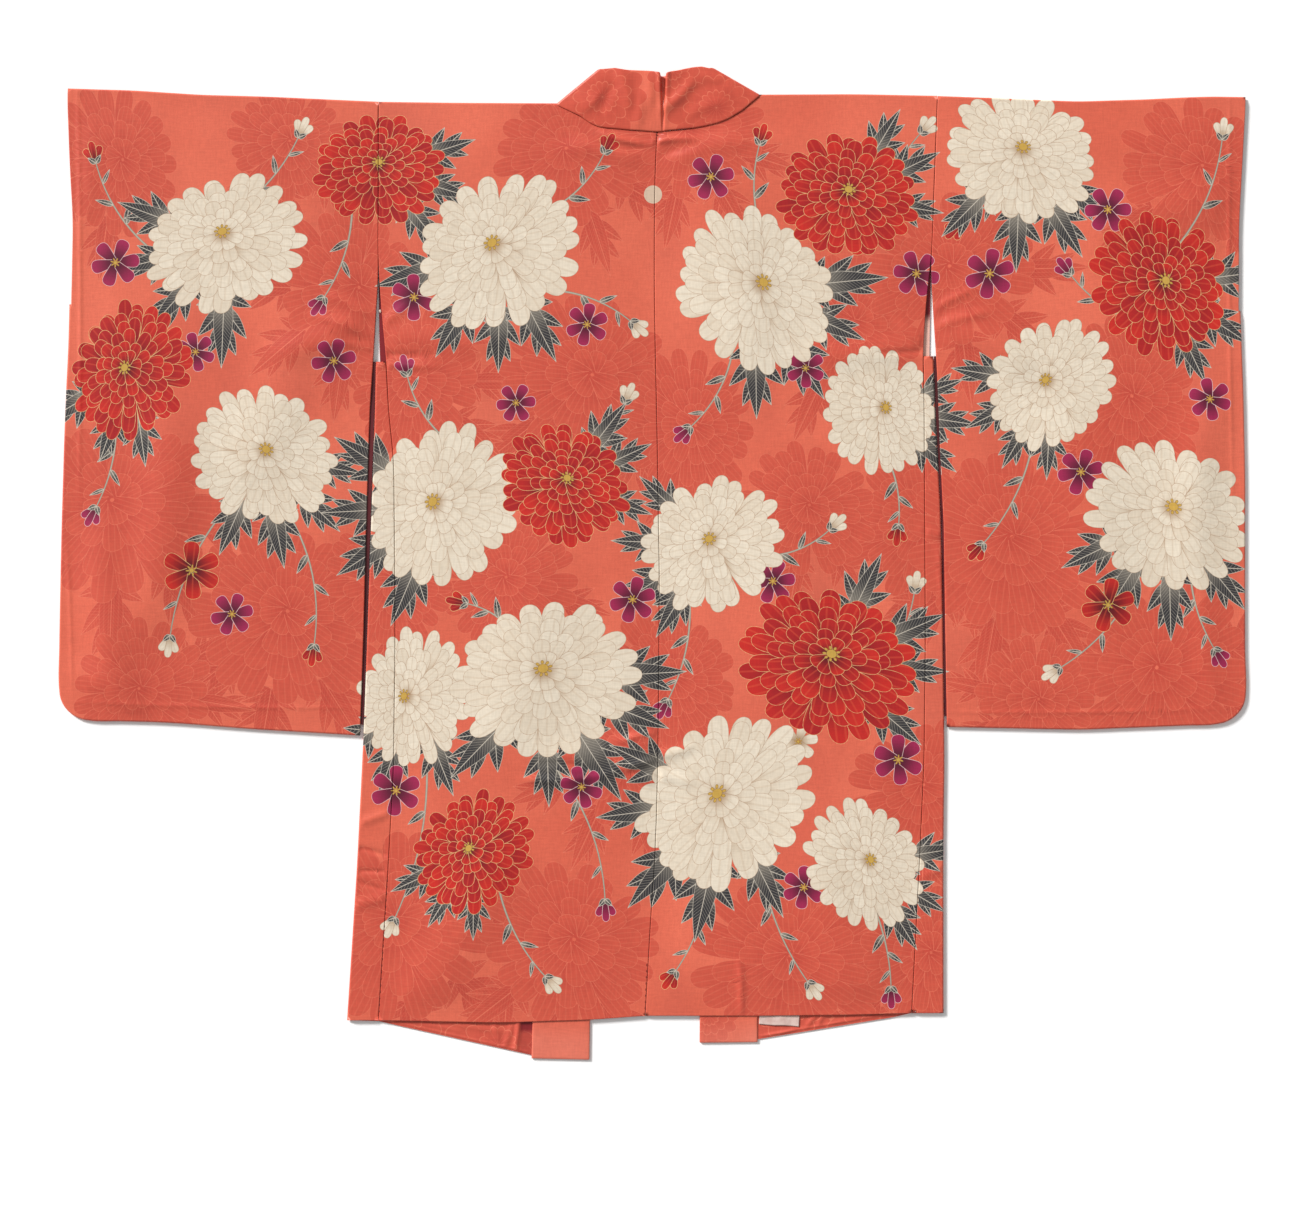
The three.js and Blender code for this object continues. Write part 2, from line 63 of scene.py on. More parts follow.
# A stroke's own frame runs t from 0 at its base to 1 at its tip, and q from -1 to 1 across its
# widest place. In it each family of strokes has one outline, q = the square root of one of these
# curves. The mesh and the material both use them.
def petal_curve(t):
    return (0.42 + 0.58 * t) ** 2 * (1 - t**6)


def leaf_curve(t):
    return 6.75 * t * (1 - t) ** 2


def round_curve(t):
    return 4 * t * (1 - t)


# Each family's curve, and the steps of t that its outline is drawn in.
PETAL = (petal_curve, np.array([0, 0.3, 0.55, 0.74, 0.86, 0.94, 0.985, 1.0]))
LEAF = (leaf_curve, np.array([0, 0.03, 0.1, 0.2, 0.34, 0.5, 0.66, 0.82, 1.0]))
DOT = (round_curve, np.array([0, 0.08, 0.3, 0.7, 0.92, 1.0]))
DISC = (round_curve, (1 - np.cos(np.linspace(0, pi, 13))) / 2)
FAMILY_OF = {"shade_leaf": LEAF, "leaf": LEAF, "heart": DOT, "bare": DISC}

rng = np.random.default_rng(11)


def heading(angle):
    return np.array([cos(angle), sin(angle)])


class Stroke(namedtuple("Stroke", "dye base reach half tone")):
    """One petal, lobe, dot or length of stem, in millimetres."""

    def outline(self):
        """Its corners, anticlockwise."""
        if self.dye == "stem":
            corners = [(0, 1), (1, 1), (1, -1), (0, -1)]
        else:
            curve, steps = FAMILY_OF.get(self.dye, PETAL)
            corners = list(zip(steps, np.sqrt(np.maximum(curve(steps), 0))))
            corners += [(t, -q) for t, q in corners[::-1] if q > 1e-6]
        if self.reach[0] * self.half[1] > self.reach[1] * self.half[0]:
            corners.reverse()
        return np.array([self.base + t * self.reach + q * self.half for t, q in corners])

    def moved(self, matrix, centre):
        base = centre + matrix @ (self.base - centre)
        return self._replace(base=base, reach=matrix @ self.reach, half=matrix @ self.half)


def left_of(way):
    return np.array([-way[1], way[0]])


def stroke(dye, base, angle, length, half_width):
    way = heading(angle)
    base = np.asarray(base, float)
    return Stroke(dye, base, way * length, left_of(way) * half_width, rng.random())


def table(row_type, *rows):
    """Rows of numbers with the columns of row_type."""
    return [row_type(*row) for row in rows]


# Rings of a bloom from the outside in: where petals end and start, as shares of its radius.
Ring = namedtuple("Ring", "tip base count")
FULL_RINGS = table(
    Ring,
    (1.00, 0.30, 21),
    (0.88, 0.26, 19),
    (0.73, 0.18, 17),
    (0.57, 0.12, 14),
    (0.41, 0.06, 11),
    (0.26, 0.02, 8),
)
SHADE_RINGS = table(Ring, (1.00, 0.30, 19), (0.76, 0.22, 16), (0.52, 0.12, 12), (0.30, 0.02, 8))
PETAL_FULLNESS = 1.032  # how much of its part of the ring a petal fills
LOOSENESS = 0.12  # how unevenly the petals of a ring are spaced
NOD = 0.9  # how far the inner rings of a turned bloom move to one side


def chrysanthemum(dye, x, y, radius, turn, squash):
    """A bloom seen a little from the side: its rings crowd towards the way that it is turned."""
    centre = np.array([x, y], float)
    lean = radians(turn)
    strokes = []
    for number, ring in enumerate(SHADE_RINGS if dye == "shade" else FULL_RINGS):
        middle = centre + heading(lean) * radius * (1 - squash) * (1 - ring.tip) * NOD
        half = PETAL_FULLNESS * pi * ring.tip * radius / ring.count
        for k in range(ring.count):
            turned = k + 0.5 * (number % 2) + rng.uniform(-LOOSENESS, LOOSENESS)
            angle = tau * turned / ring.count
            tip = ring.tip * radius * rng.uniform(0.93, 1.04)
            base = middle + heading(angle) * ring.base * radius
            sway = angle + rng.uniform(-0.10, 0.10)
            strokes.append(stroke(dye, base, sway, tip - ring.base * radius, half))
    if dye != "shade":
        core = centre + heading(lean) * radius * (1 - squash) * NOD
        foot = core - (radius * 0.06, 0)
        strokes.append(stroke("heart", foot, 0, radius * 0.12, radius * 0.06))
        for k in range(9):
            angle = tau * k / 9 + 0.3
            spot = core + heading(angle) * radius * 0.055
            strokes.append(stroke("heart", spot, angle, radius * 0.05, radius * 0.018))
    axis = Matrix.Rotation(lean, 2)
    matrix = np.array(axis) @ np.diag([squash, 1.0]) @ np.array(axis).T
    return [s.moved(matrix, centre) for s in strokes]


def small_bloom(dye, x, y, radius, turn):
    """Six broad petals round a heart of dots."""
    strokes = []
    for k in range(6):
        angle = radians(turn) + tau * k / 6 + rng.uniform(-0.08, 0.08)
        foot = (x, y) + heading(angle) * radius * 0.1
        strokes.append(stroke(dye, foot, angle, radius * 0.9, radius * 0.36))
    strokes.append(stroke("heart", (x - radius * 0.09, y), 0, radius * 0.18, radius * 0.09))
    for k in range(7):
        angle = radians(turn) + tau * k / 7
        foot = (x, y) + heading(angle) * radius * 0.06
        strokes.append(stroke("heart", foot, angle, radius * 0.15, radius * 0.035))
    return strokes


# Lobes of a leaf: place along its length, angle to it, length and half width as shares of it.
Lobe = namedtuple("Lobe", "place angle length half")
LOBES = table(
    Lobe,
    (0.02, 68, 0.40, 0.085),
    (0.02, -68, 0.40, 0.085),
    (0.18, 44, 0.52, 0.10),
    (0.18, -44, 0.52, 0.10),
    (0.40, 26, 0.46, 0.09),
    (0.40, -26, 0.46, 0.09),
    (0.0, 0, 1.0, 0.135),
)


def lobed_leaf(dye, x, y, length, turn):
    base = np.array([x, y], float)
    way = radians(turn)
    strokes = []
    for lobe in LOBES:
        start = base + heading(way) * lobe.place * length
        angle = way + radians(lobe.angle) * rng.uniform(0.85, 1.1)
        strokes.append(stroke(dye, start, angle, lobe.length * length, lobe.half * length))
    return strokes


def budding_stem(x0, y0, x1, y1, bend, dye):
    """A curved stem of short straight lengths, with small leaves on it and a bud at its tip."""
    start, end = np.array([x0, y0], float), np.array([x1, y1], float)
    side = np.array([start[1] - end[1], end[0] - start[0]])
    middle = (start + end) / 2 + side * bend
    shares = np.linspace(0, 1, 16)
    points = [(1 - s) ** 2 * start + 2 * s * (1 - s) * middle + s * s * end for s in shares]
    strokes, leaves = [], []
    for k, (a, b) in enumerate(zip(points, points[1:])):
        along = (b - a) * 1.08
        width = 2.6 - 1.2 * k / len(points)
        across = left_of(along) / np.linalg.norm(along) * width / 2
        strokes.append(Stroke("stem", a, along, across, 0.5))
        if k in (6, 9, 12):
            turn = np.arctan2(along[1], along[0]) + (0.8 if k == 9 else -0.8)
            leaves.append(stroke("leaf", a, turn, 30 - k, 5.5 - 0.25 * k))
    turn = np.arctan2(*(end - middle)[::-1])
    foot = end - heading(turn) * 3
    cup = [stroke("leaf", foot, turn + lean, 11, 3.2) for lean in (-0.75, 0.75)]
    foot = end - heading(turn) * 2
    petals = [stroke(dye, foot, turn + lean, 24 - 9 * abs(lean), 5.5) for lean in (-0.5, 0.5, 0)]
    return strokes + leaves + petals + cup


# Blooms over the back, from the left sleeve to the right. Their leaves fan out round leaf_turn.
Bloom = namedtuple("Bloom", "x y radius turn squash dye leaf_turn leaves")
BLOOMS = table(
    Bloom,
    (-468, 352, 92, 110, 0.80, "cream", 215, 4),
    (-572, 212, 78, 160, 0.86, "crimson", 250, 3),
    (-428, 118, 84, 60, 0.88, "cream", 300, 4),
    (-300, 432, 74, 95, 0.84, "crimson", 340, 3),
    (-168, 342, 98, 130, 0.82, "cream", 250, 4),
    (-232, 62, 96, 150, 0.85, "cream", 200, 4),
    (-98, 86, 76, 60, 0.85, "crimson", 20, 3),
    (-262, -148, 78, 170, 0.80, "cream", 255, 3),
    (-118, -128, 104, 100, 0.84, "cream", 300, 5),
    (-196, -318, 72, 140, 0.86, "crimson", 235, 3),
    (112, 300, 98, 40, 0.82, "cream", 320, 4),
    (214, 402, 80, 80, 0.86, "crimson", 30, 3),
    (248, 168, 74, 20, 0.84, "cream", 350, 3),
    (66, 20, 82, 120, 0.88, "cream", 190, 4),
    (192, -112, 100, 70, 0.82, "crimson", 10, 4),
    (80, -262, 106, 135, 0.84, "cream", 225, 5),
    (232, -330, 74, 30, 0.84, "cream", 330, 3),
    (404, 446, 88, 75, 0.82, "cream", 280, 4),
    (556, 306, 84, 30, 0.86, "crimson", 330, 3),
    (438, 196, 78, 140, 0.86, "cream", 220, 4),
    (566, 52, 96, 60, 0.84, "cream", 260, 4),
)
# Blooms on the fronts, which lie underneath, at their own places there.
FRONT_BLOOMS = table(
    Bloom,
    (-205, -250, 98, 120, 0.84, "cream", 220, 4),
    (-240, -60, 80, 60, 0.84, "crimson", 300, 3),
    (214, -300, 92, 100, 0.84, "crimson", 210, 4),
    (190, -90, 84, 60, 0.84, "cream", 330, 3),
    (-470, 120, 94, 120, 0.84, "cream", 240, 4),
    (482, 90, 94, 60, 0.84, "cream", 300, 4),
)
# Stems from under the blooms out to their buds.
Bud = namedtuple("Bud", "x0 y0 x1 y1 bend dye")
BUDS = table(
    Bud,
    (-540, 336, -612, 442, 0.18, "crimson"),
    (-470, 380, -388, 470, -0.16, "cream"),
    (-590, 170, -612, 60, 0.15, "magenta"),
    (-440, 90, -530, -82, -0.18, "cream"),
    (-410, 70, -372, -92, 0.20, "crimson"),
    (-330, 400, -362, 290, 0.16, "magenta"),
    (-130, 380, -52, 452, -0.20, "crimson"),
    (-120, 300, -22, 264, 0.18, "cream"),
    (-220, 130, -270, 208, 0.18, "magenta"),
    (-80, 120, -30, 178, -0.15, "cream"),
    (-150, -80, -206, -44, -0.20, "crimson"),
    (-250, -190, -284, -392, 0.14, "cream"),
    (-130, -200, -52, -372, 0.20, "magenta"),
    (-170, -350, -116, -456, -0.15, "cream"),
    (120, 360, 118, 462, 0.15, "crimson"),
    (90, 250, 40, 148, 0.20, "magenta"),
    (250, 380, 296, 474, 0.15, "cream"),
    (256, 120, 270, 40, 0.15, "crimson"),
    (100, 10, 196, 38, -0.25, "cream"),
    (40, -30, 16, -152, 0.15, "magenta"),
    (230, -150, 288, -30, -0.15, "cream"),
    (60, -320, 24, -450, 0.18, "crimson"),
    (118, -316, 172, -462, -0.14, "cream"),
    (240, -370, 262, -468, 0.10, "magenta"),
    (430, 400, 338, 372, -0.25, "crimson"),
    (574, 345, 626, 468, -0.15, "cream"),
    (540, 260, 458, 318, 0.15, "magenta"),
    (420, 150, 362, 20, 0.16, "crimson"),
    (540, 0, 446, -116, 0.18, "cream"),
    (590, 0, 618, -96, -0.14, "magenta"),
)
Small = namedtuple("Small", "x y radius turn dye")
SMALL_BLOOMS = table(
    Small,
    (-590, 330, 27, 10, "magenta"),
    (-502, 232, 22, 40, "magenta"),
    (-350, 222, 25, 10, "magenta"),
    (-506, -8, 32, 30, "crimson"),
    (-462, -56, 24, 12, "magenta"),
    (-262, 292, 26, 33, "magenta"),
    (-72, 262, 24, 20, "magenta"),
    (-150, 176, 22, 5, "magenta"),
    (-22, -40, 26, 15, "magenta"),
    (-282, -250, 28, 25, "magenta"),
    (-78, -246, 24, 44, "magenta"),
    (64, 424, 26, 10, "magenta"),
    (290, 318, 26, 50, "magenta"),
    (168, 214, 22, 30, "magenta"),
    (132, -20, 25, 5, "magenta"),
    (270, -216, 28, 35, "magenta"),
    (160, -196, 22, 15, "cream"),
    (166, -356, 24, 25, "magenta"),
    (500, 388, 26, 0, "magenta"),
    (370, 318, 28, 22, "magenta"),
    (470, 100, 26, 12, "magenta"),
    (612, 180, 24, 40, "magenta"),
    (500, -46, 30, 18, "crimson"),
)
# Stencilled blossoms of the ground, a shade darker than it.
Stencil = namedtuple("Stencil", "x y radius turn squash")
STENCILS = table(
    Stencil,
    (-590, 440, 86, 20, 0.8),
    (-400, 460, 70, 70, 0.9),
    (-590, 60, 118, 110, 0.84),
    (-405, -60, 112, 60, 0.86),
    (-560, -140, 82, 150, 0.9),
    (-330, 300, 96, 20, 0.84),
    (-90, 450, 92, 130, 0.85),
    (-70, 200, 104, 60, 0.86),
    (-260, 200, 84, 160, 0.84),
    (-160, -20, 80, 100, 0.9),
    (-290, -20, 76, 30, 0.9),
    (-30, -210, 92, 45, 0.84),
    (-280, -400, 118, 120, 0.85),
    (-90, -420, 104, 60, 0.86),
    (40, 470, 84, 100, 0.86),
    (214, 260, 92, 45, 0.84),
    (40, 150, 86, 10, 0.84),
    (300, 40, 98, 100, 0.86),
    (170, 60, 78, 60, 0.9),
    (20, -130, 84, 30, 0.84),
    (300, -250, 90, 110, 0.86),
    (150, -440, 112, 80, 0.85),
    (300, -430, 84, 20, 0.86),
    (600, 430, 92, 60, 0.84),
    (330, 320, 98, 120, 0.86),
    (520, 180, 96, 30, 0.86),
    (390, 20, 118, 60, 0.84),
    (560, -120, 108, 140, 0.86),
    (420, -150, 72, 10, 0.9),
)
LEAF_SPREAD = 34  # degrees between the leaves of a fan


def paint(blooms, small_blooms, buds, stencils):
    """The strokes of one side in the order of painting: later ones lie over the rest."""
    strokes = []
    for stencil in stencils:
        for turn in (stencil.turn + 158, stencil.turn + 200, stencil.turn + 242):
            foot = stencil[:2] + heading(radians(turn)) * stencil.radius * 0.7
            strokes += lobed_leaf("shade_leaf", *foot, stencil.radius * 0.85, turn)
    for stencil in stencils:
        strokes += chrysanthemum("shade", *stencil)
    for bud in buds:
        strokes += budding_stem(*bud)
    for bloom in blooms:
        for k in range(bloom.leaves):
            from_middle = LEAF_SPREAD * (k - (bloom.leaves - 1) / 2)
            turn = bloom.leaf_turn + from_middle + rng.uniform(-6, 6)
            foot = bloom[:2] + heading(radians(turn)) * bloom.radius * 0.62
            strokes += lobed_leaf("leaf", *foot, bloom.radius * rng.uniform(0.72, 0.9), turn)
    for small in small_blooms:
        strokes += small_bloom(small.dye, small.x, small.y, small.radius, small.turn)
    for bloom in blooms:
        strokes += chrysanthemum(bloom.dye, *bloom[:5])
    return strokes


back_strokes = paint(BLOOMS, SMALL_BLOOMS, BUDS, STENCILS)
# A round left undyed, high on the back seam.
back_strokes.append(stroke("bare", (-9.5, 405), 0, 20, 10))
near_fold = [s for s in back_strokes if s.base[1] + abs(s.reach[1]) > SHOULDER_Y - 8]
over_shoulder = [s.moved(np.diag([1.0, -1.0]), (0, SHOULDER_Y)) for s in near_fold]
front_strokes = paint(FRONT_BLOOMS, [], [], STENCILS[2:-2:3]) + over_shoulder


class Wire:
    """An output in a material's nodes. Arithmetic adds Math nodes, and node() adds any other."""

    def __init__(self, tree, socket=None):
        self.tree, self.socket = tree, socket

    def node(self, kind, settings=None, inputs=None, output=0):
        made = self.tree.nodes.new("ShaderNode" + kind)
        for name, value in (settings or {}).items():
            setattr(made, name, value)
        for name, value in (inputs or {}).items():
            if isinstance(value, Wire):
                self.tree.links.new(value.socket, made.inputs[name])
            else:
                made.inputs[name].default_value = value
        return Wire(self.tree, made.outputs[output])

    def maths(self, operation, *others, first=None):
        values = (self if first is None else first, *others)
        return self.node("Math", {"operation": operation}, dict(enumerate(values)))

    def __add__(self, other):
        return self.maths("ADD", other)

    def __mul__(self, other):
        return self.maths("MULTIPLY", other)

    def __sub__(self, other):
        return self.maths("SUBTRACT", other)

    def __rsub__(self, other):
        return self.maths("SUBTRACT", self, first=other)

    def __truediv__(self, other):
        return self.maths("DIVIDE", other)

    def __pow__(self, other):
        return self.maths("POWER", other)

    def __abs__(self):
        return self.maths("ABSOLUTE")

    __radd__ = __add__
    __rmul__ = __mul__

    def ramp(self, low, high):
        """0 below low and 1 above high, smooth between. Falls instead where low is the larger."""
        settings = {"interpolation_type": "SMOOTHSTEP"}
        return self.node("MapRange", settings, {"Value": self, "From Min": low, "From Max": high})

    def mix(self, low, high):
        """A colour that goes from low to high as this value goes from 0 to 1."""
        return self.node("Mix", {"data_type": "RGBA"}, {0: self, 6: low, 7: high}, output=2)

    def axis(self, name):
        return self.node("SeparateXYZ", {}, {0: self}, output=name)


def dyed(red, green, blue):
    """A colour as light energy from its 0 to 255 values on a screen."""
    shares = [v / 255 for v in (red, green, blue)]
    return (*(s / 12.92 if s < 0.04045 else ((s + 0.055) / 1.055) ** 2.4 for s in shares), 1.0)


def new_material(name, roughness, sheen=0.0):
    """A cloth's material, its shader, and a first Wire in its nodes."""
    material = bpy.data.materials.new(name)
    material.use_nodes = True
    shader = material.node_tree.nodes["Principled BSDF"]
    shader.inputs["Roughness"].default_value = roughness
    shader.inputs["Sheen Weight"].default_value = sheen
    shader.inputs["Sheen Roughness"].default_value = 0.45
    shader.inputs["Specular IOR Level"].default_value = 0.42
    return material, shader, Wire(material.node_tree)


def colour_with(colour, shader):
    colour.tree.links.new(colour.socket, shader.inputs["Base Color"])


# The duller coral is painted sheen, for the look of the silk's soft folds.
CORAL, CORAL_WARM, CORAL_DULL_SHEEN = dyed(205, 92, 68), dyed(219, 106, 80), dyed(190, 86, 67)
CORAL_SHADE, CORAL_SHADE_PALE = dyed(184, 66, 50), dyed(195, 78, 58)
CORAL_LINE = dyed(217, 112, 86)


def noise(place, scale, detail, roughness=0.5):
    inputs = {"Vector": place, "Scale": scale, "Detail": detail, "Roughness": roughness}
    return place.node("TexNoise", {}, inputs)


def crepe(name, roughness, sheen):
    """A material with crepe's fine grain, and slow clouds and fine specks for its colour."""
    material, shader, wire = new_material(name, roughness, sheen)
    place = wire.node("TexCoord", output="Object")
    cloud = noise(place, 5.0, 3.0, 0.5)
    fine = noise(place, 900.0, 2.0, 0.6)
    weft = wire.node(
        "TexWave",
        {"bands_direction": "Y"},
        {"Vector": place, "Scale": 190.0, "Distortion": 3.0, "Detail": 2.0, "Detail Scale": 4.0},
        output="Fac",
    )
    height = fine * 0.7 + weft * 0.3
    normal = wire.node("Bump", {}, {"Strength": 0.35, "Distance": 0.00012, "Height": height})
    wire.tree.links.new(normal.socket, shader.inputs["Normal"])
    return material, shader, place, cloud, fine


def threaded(place, colour):
    """The same colour, a little lighter and darker from thread to thread both ways."""
    threads = 0
    for ways in ((90, 520, 1), (520, 90, 1)):
        drawn_out = place.node("VectorMath", {"operation": "MULTIPLY"}, {0: place, 1: ways})
        threads += noise(drawn_out, 1.0, 1.0)
    brightness = threads * 0.22 + 0.78
    return place.node("VectorMath", {"operation": "SCALE"}, {0: colour, "Scale": brightness})


def woven_coral(place, cloud, fine):
    """Coral, warmer in places and duller in stretched patches of painted sheen, with fine threads.
    """
    # Slow stretched patches a little duller: painted sheen, as the silk shows over soft folds.
    stretched = place.node("VectorMath", {"operation": "MULTIPLY"}, {0: place, 1: (9, 4, 1)})
    sheen_patches = noise(stretched, 1.0, 2.0, 0.4)
    even = cloud.ramp(0.35, 0.68).mix(CORAL, CORAL_WARM)
    painted_light = (sheen_patches.ramp(0.45, 0.75) * 0.55).mix(even, CORAL_DULL_SHEEN)
    return (fine.ramp(0.3, 0.7) * 0.22).mix(painted_light, CORAL_SHADE)


silk, silk_shader, place, cloud, fine = crepe("painted_silk", 0.44, sheen=0.06)
petal = place.node("Attribute", {"attribute_name": "petal"}, output="Vector")
brush = place.node("Attribute", {"attribute_name": "brush"}, output="Vector")
t, q, dye = (petal.axis(name) for name in "XYZ")
length_mm, half_mm, tone = (brush.axis(name) for name in "XYZ")
is_dye = {name: dye.maths("COMPARE", number, 0.2) for number, name in enumerate(DYES)}
is_leaf = is_dye["leaf"] + is_dye["shade_leaf"]
is_petal = is_dye["cream"] + is_dye["crimson"] + is_dye["magenta"] + is_dye["shade"]
is_round = is_dye["heart"]
curve = is_petal * petal_curve(t) + is_leaf * leaf_curve(t) + is_round * round_curve(t)
curve += is_dye["stem"]
widening, tip_fall = t * 0.58 + 0.42, 1 - t**6
slope = (
    is_petal * (1.16 * widening * tip_fall - widening * widening * 6 * t**5)
    + is_leaf * 6.75 * (1 - t) * (1 - 3 * t)
    + is_round * (4 - 8 * t)
)
by_length, by_width = slope / length_mm, 2 * q / half_mm
steepness = (by_length * by_length + by_width * by_width).maths("SQRT")
edge_mm = (curve - q * q) / (steepness + 0.0001)
line = edge_mm.ramp(0.75, 0.35)
barbs = (q * 9 + t * 2.2 + tone * 7).maths("SINE").ramp(0.55, 1.0)
midrib = (abs(q) * half_mm).ramp(0.55, 0.25)
side_vein = ((t - abs(q) * 0.16) * length_mm / 4.2).maths("FRACT").ramp(0.16, 0.04)

cream_tip = (tone * 0.7).mix(dyed(217, 204, 184), dyed(206, 190, 168))
cream_fill = t.ramp(0.0, 0.7).mix(dyed(168, 140, 110), cream_tip)
cream_fill = (barbs * 0.3).mix(cream_fill, dyed(186, 162, 136))
crimson_tip = tone.mix(dyed(192, 34, 24), dyed(158, 18, 22))
crimson_fill = t.ramp(0.0, 0.95).mix(dyed(84, 5, 16), crimson_tip)
crimson_fill = (barbs * 0.35).mix(crimson_fill, dyed(206, 78, 50))
magenta_fill = t.ramp(0.0, 1.0).mix(dyed(78, 8, 36), dyed(152, 26, 72))
leaf_fill = t.ramp(0.0, 0.6).mix(dyed(132, 124, 112), dyed(46, 44, 46))
shade_fill = t.ramp(0.0, 1.0).mix(CORAL_SHADE, CORAL_SHADE_PALE)
fine_barbs = (q * 16 + tone * 5).maths("SINE").ramp(0.6, 1.0)
shade_fill = (fine_barbs * 0.22).mix(shade_fill, CORAL_LINE)
colour = woven_coral(place, cloud, fine)
# dye, fill, resist line, how clear the line is
painted = [
    ("shade", shade_fill, CORAL_LINE, 0.8),
    ("shade_leaf", shade_fill, CORAL_LINE, 0.8),
    ("stem", dyed(168, 160, 142), dyed(92, 84, 76), 0.7),
    ("leaf", leaf_fill, dyed(196, 186, 170), 0.9),
    ("cream", cream_fill, dyed(156, 120, 90), 0.75),
    ("crimson", crimson_fill, dyed(222, 178, 122), 0.9),
    ("magenta", magenta_fill, dyed(222, 186, 184), 0.9),
    ("heart", dyed(188, 150, 66), dyed(112, 78, 38), 0.8),
    ("bare", dyed(218, 202, 182), dyed(180, 140, 110), 0.5),
]
for name, fill, line_colour, clearness in painted:
    drawn = line
    if name in ("leaf", "shade_leaf"):
        drawn = line.maths("MAXIMUM", midrib).maths("MAXIMUM", side_vein * 0.55)
    colour = is_dye[name].mix(colour, (drawn * clearness).mix(fill, line_colour))
colour_with(threaded(place, colour), silk_shader)

# The cloth: how thick it lies, and how it turns down at its edges.
WALL_MM = 1.2
BACK_TOP_MM = 4.1
MIDDLE_MM = BACK_TOP_MM / 2
PILLOW_MM, PILLOW_MARGIN = 1.3, 55.0
TURNED_EDGE_MM = 0.9  # how far in from an open edge the silk starts to turn down to the lining

# Folds and creases of the upper walls, in millimetres, turned in degrees from straight across.
Crease = namedtuple("Crease", "x y turn length width height bend")
CREASES = table(
    Crease,
    (-543, 38, 82, 260, 34, 4.6, 14),
    (-599, -52, 96, 190, 24, 3.2, -8),
    (-415, 178, 70, 200, 36, 2.6, 10),
    (-367, 246, 24, 100, 16, 2.6, 4),
    (-591, -142, -38, 90, 14, 2.0, 0),
    (367, 238, -28, 110, 17, 2.8, -5),
    (475, 58, 104, 240, 36, 3.5, 12),
    (601, 88, 84, 220, 26, 2.9, -10),
    (565, 388, 12, 170, 30, 2.3, 8),
    (-54, 452, -12, 80, 12, 2.2, -5),
    (62, 456, 14, 84, 12, 2.2, -6),
    (-231, 246, -6, 130, 15, 1.9, 4),
    (231, 232, 5, 130, 15, 2.0, 4),
    (91, 318, 96, 260, 40, 2.6, 10),
    (-145, -102, 78, 300, 46, 2.8, 12),
    (155, -52, 100, 320, 50, 2.5, -14),
    (-55, -212, 4, 130, 18, 1.9, 3),
    (-209, -397, 64, 210, 34, 3.2, 10),
    (201, -392, 108, 220, 36, 2.8, -10),
    # short sharp ones: pulls from both slits, then puckers beside the seams
    (-34, 466, -15, 54, 4.0, 2.3, 2),
    (-36, 457, -8, 44, 4.6, -0.9, 2),
    (24, 465, 5, 48, 4.2, 2.1, -2),
    (30, 454, 12, 40, 4.6, -0.9, -2),
    (-333, 283, 152, 52, 5.0, 1.4, 2),
    (-341, 262, 160, 66, 5.5, 1.5, 3),
    (-335, 240, 172, 54, 5.0, 1.2, 2),
    (-276, 229, -2, 62, 3.6, -1.2, 1),
    (-274, 217, -3, 68, 4.2, 1.2, 1),
    (-286, 272, 34, 44, 6.0, 1.2, 2),
    (330, 290, 28, 50, 5.0, 1.4, -2),
    (338, 268, 16, 60, 5.5, 1.4, -2),
    (286, 250, -38, 46, 6.0, 1.2, -2),
    (276, 232, 3, 60, 3.8, -1.0, 1),
    (-20, -196, 170, 46, 6.0, 1.5, 2),
    (-22, -222, 12, 50, 6.5, 1.5, -2),
    (22, -208, 12, 44, 6.0, 1.4, 2),
    (20, -236, 168, 52, 6.5, 1.4, 2),
    (-114, -240, 170, 46, 5.0, 1.4, 2),
    (-306, -280, 20, 34, 5.0, 1.4, 0),
    (-307, -317, -15, 36, 3.0, -1.2, 0),
    (-308, -338.5, -2, 36, 2.6, -1.1, 0),
    (-309, -355, -18, 34, 3.0, -1.3, 0),
    (-311, -372, 12, 40, 6.0, 1.4, 0),
    (310, -312, 160, 30, 5.0, 1.2, 0),
    (311, -338, 20, 30, 5.0, 1.2, 0),
    (308, 32, 158, 28, 4.5, 1.0, 0),
    (97, -466, 92, 58, 4.0, 1.4, 1),
    (-12, -174, 150, 30, 3.4, 1.4, 2),
    (-15, -190, 12, 34, 4.0, 1.7, -2),
    (-13, -205, 155, 28, 3.6, 1.4, 1),
    (-14, -221, 18, 30, 4.0, 1.5, -1),
    (-12, -238, 160, 28, 3.8, 1.4, 1),
    (-90, -236, 4, 96, 4.6, 1.5, 4),
    (-96, -222, 176, 70, 3.8, -1.0, 3),
    (318, -14, 96, 60, 4.0, 1.0, 0),
    (-629.5, 300, 90.2, 430, 2.4, 0.6, 2),
    (-640.0, -60, 92, 150, 2.4, 0.5, 1),
    (634.5, 300, 90.4, 430, 2.4, 0.6, -2),
    (-480, -157, -1.2, 280, 2.4, 0.5, 2),
    (470, -163, 0.6, 280, 2.4, 0.5, 2),
    (-620, 420, 86, 120, 12, 1.0, 4),
    (610, -90, 96, 150, 14, 1.2, -4),
)
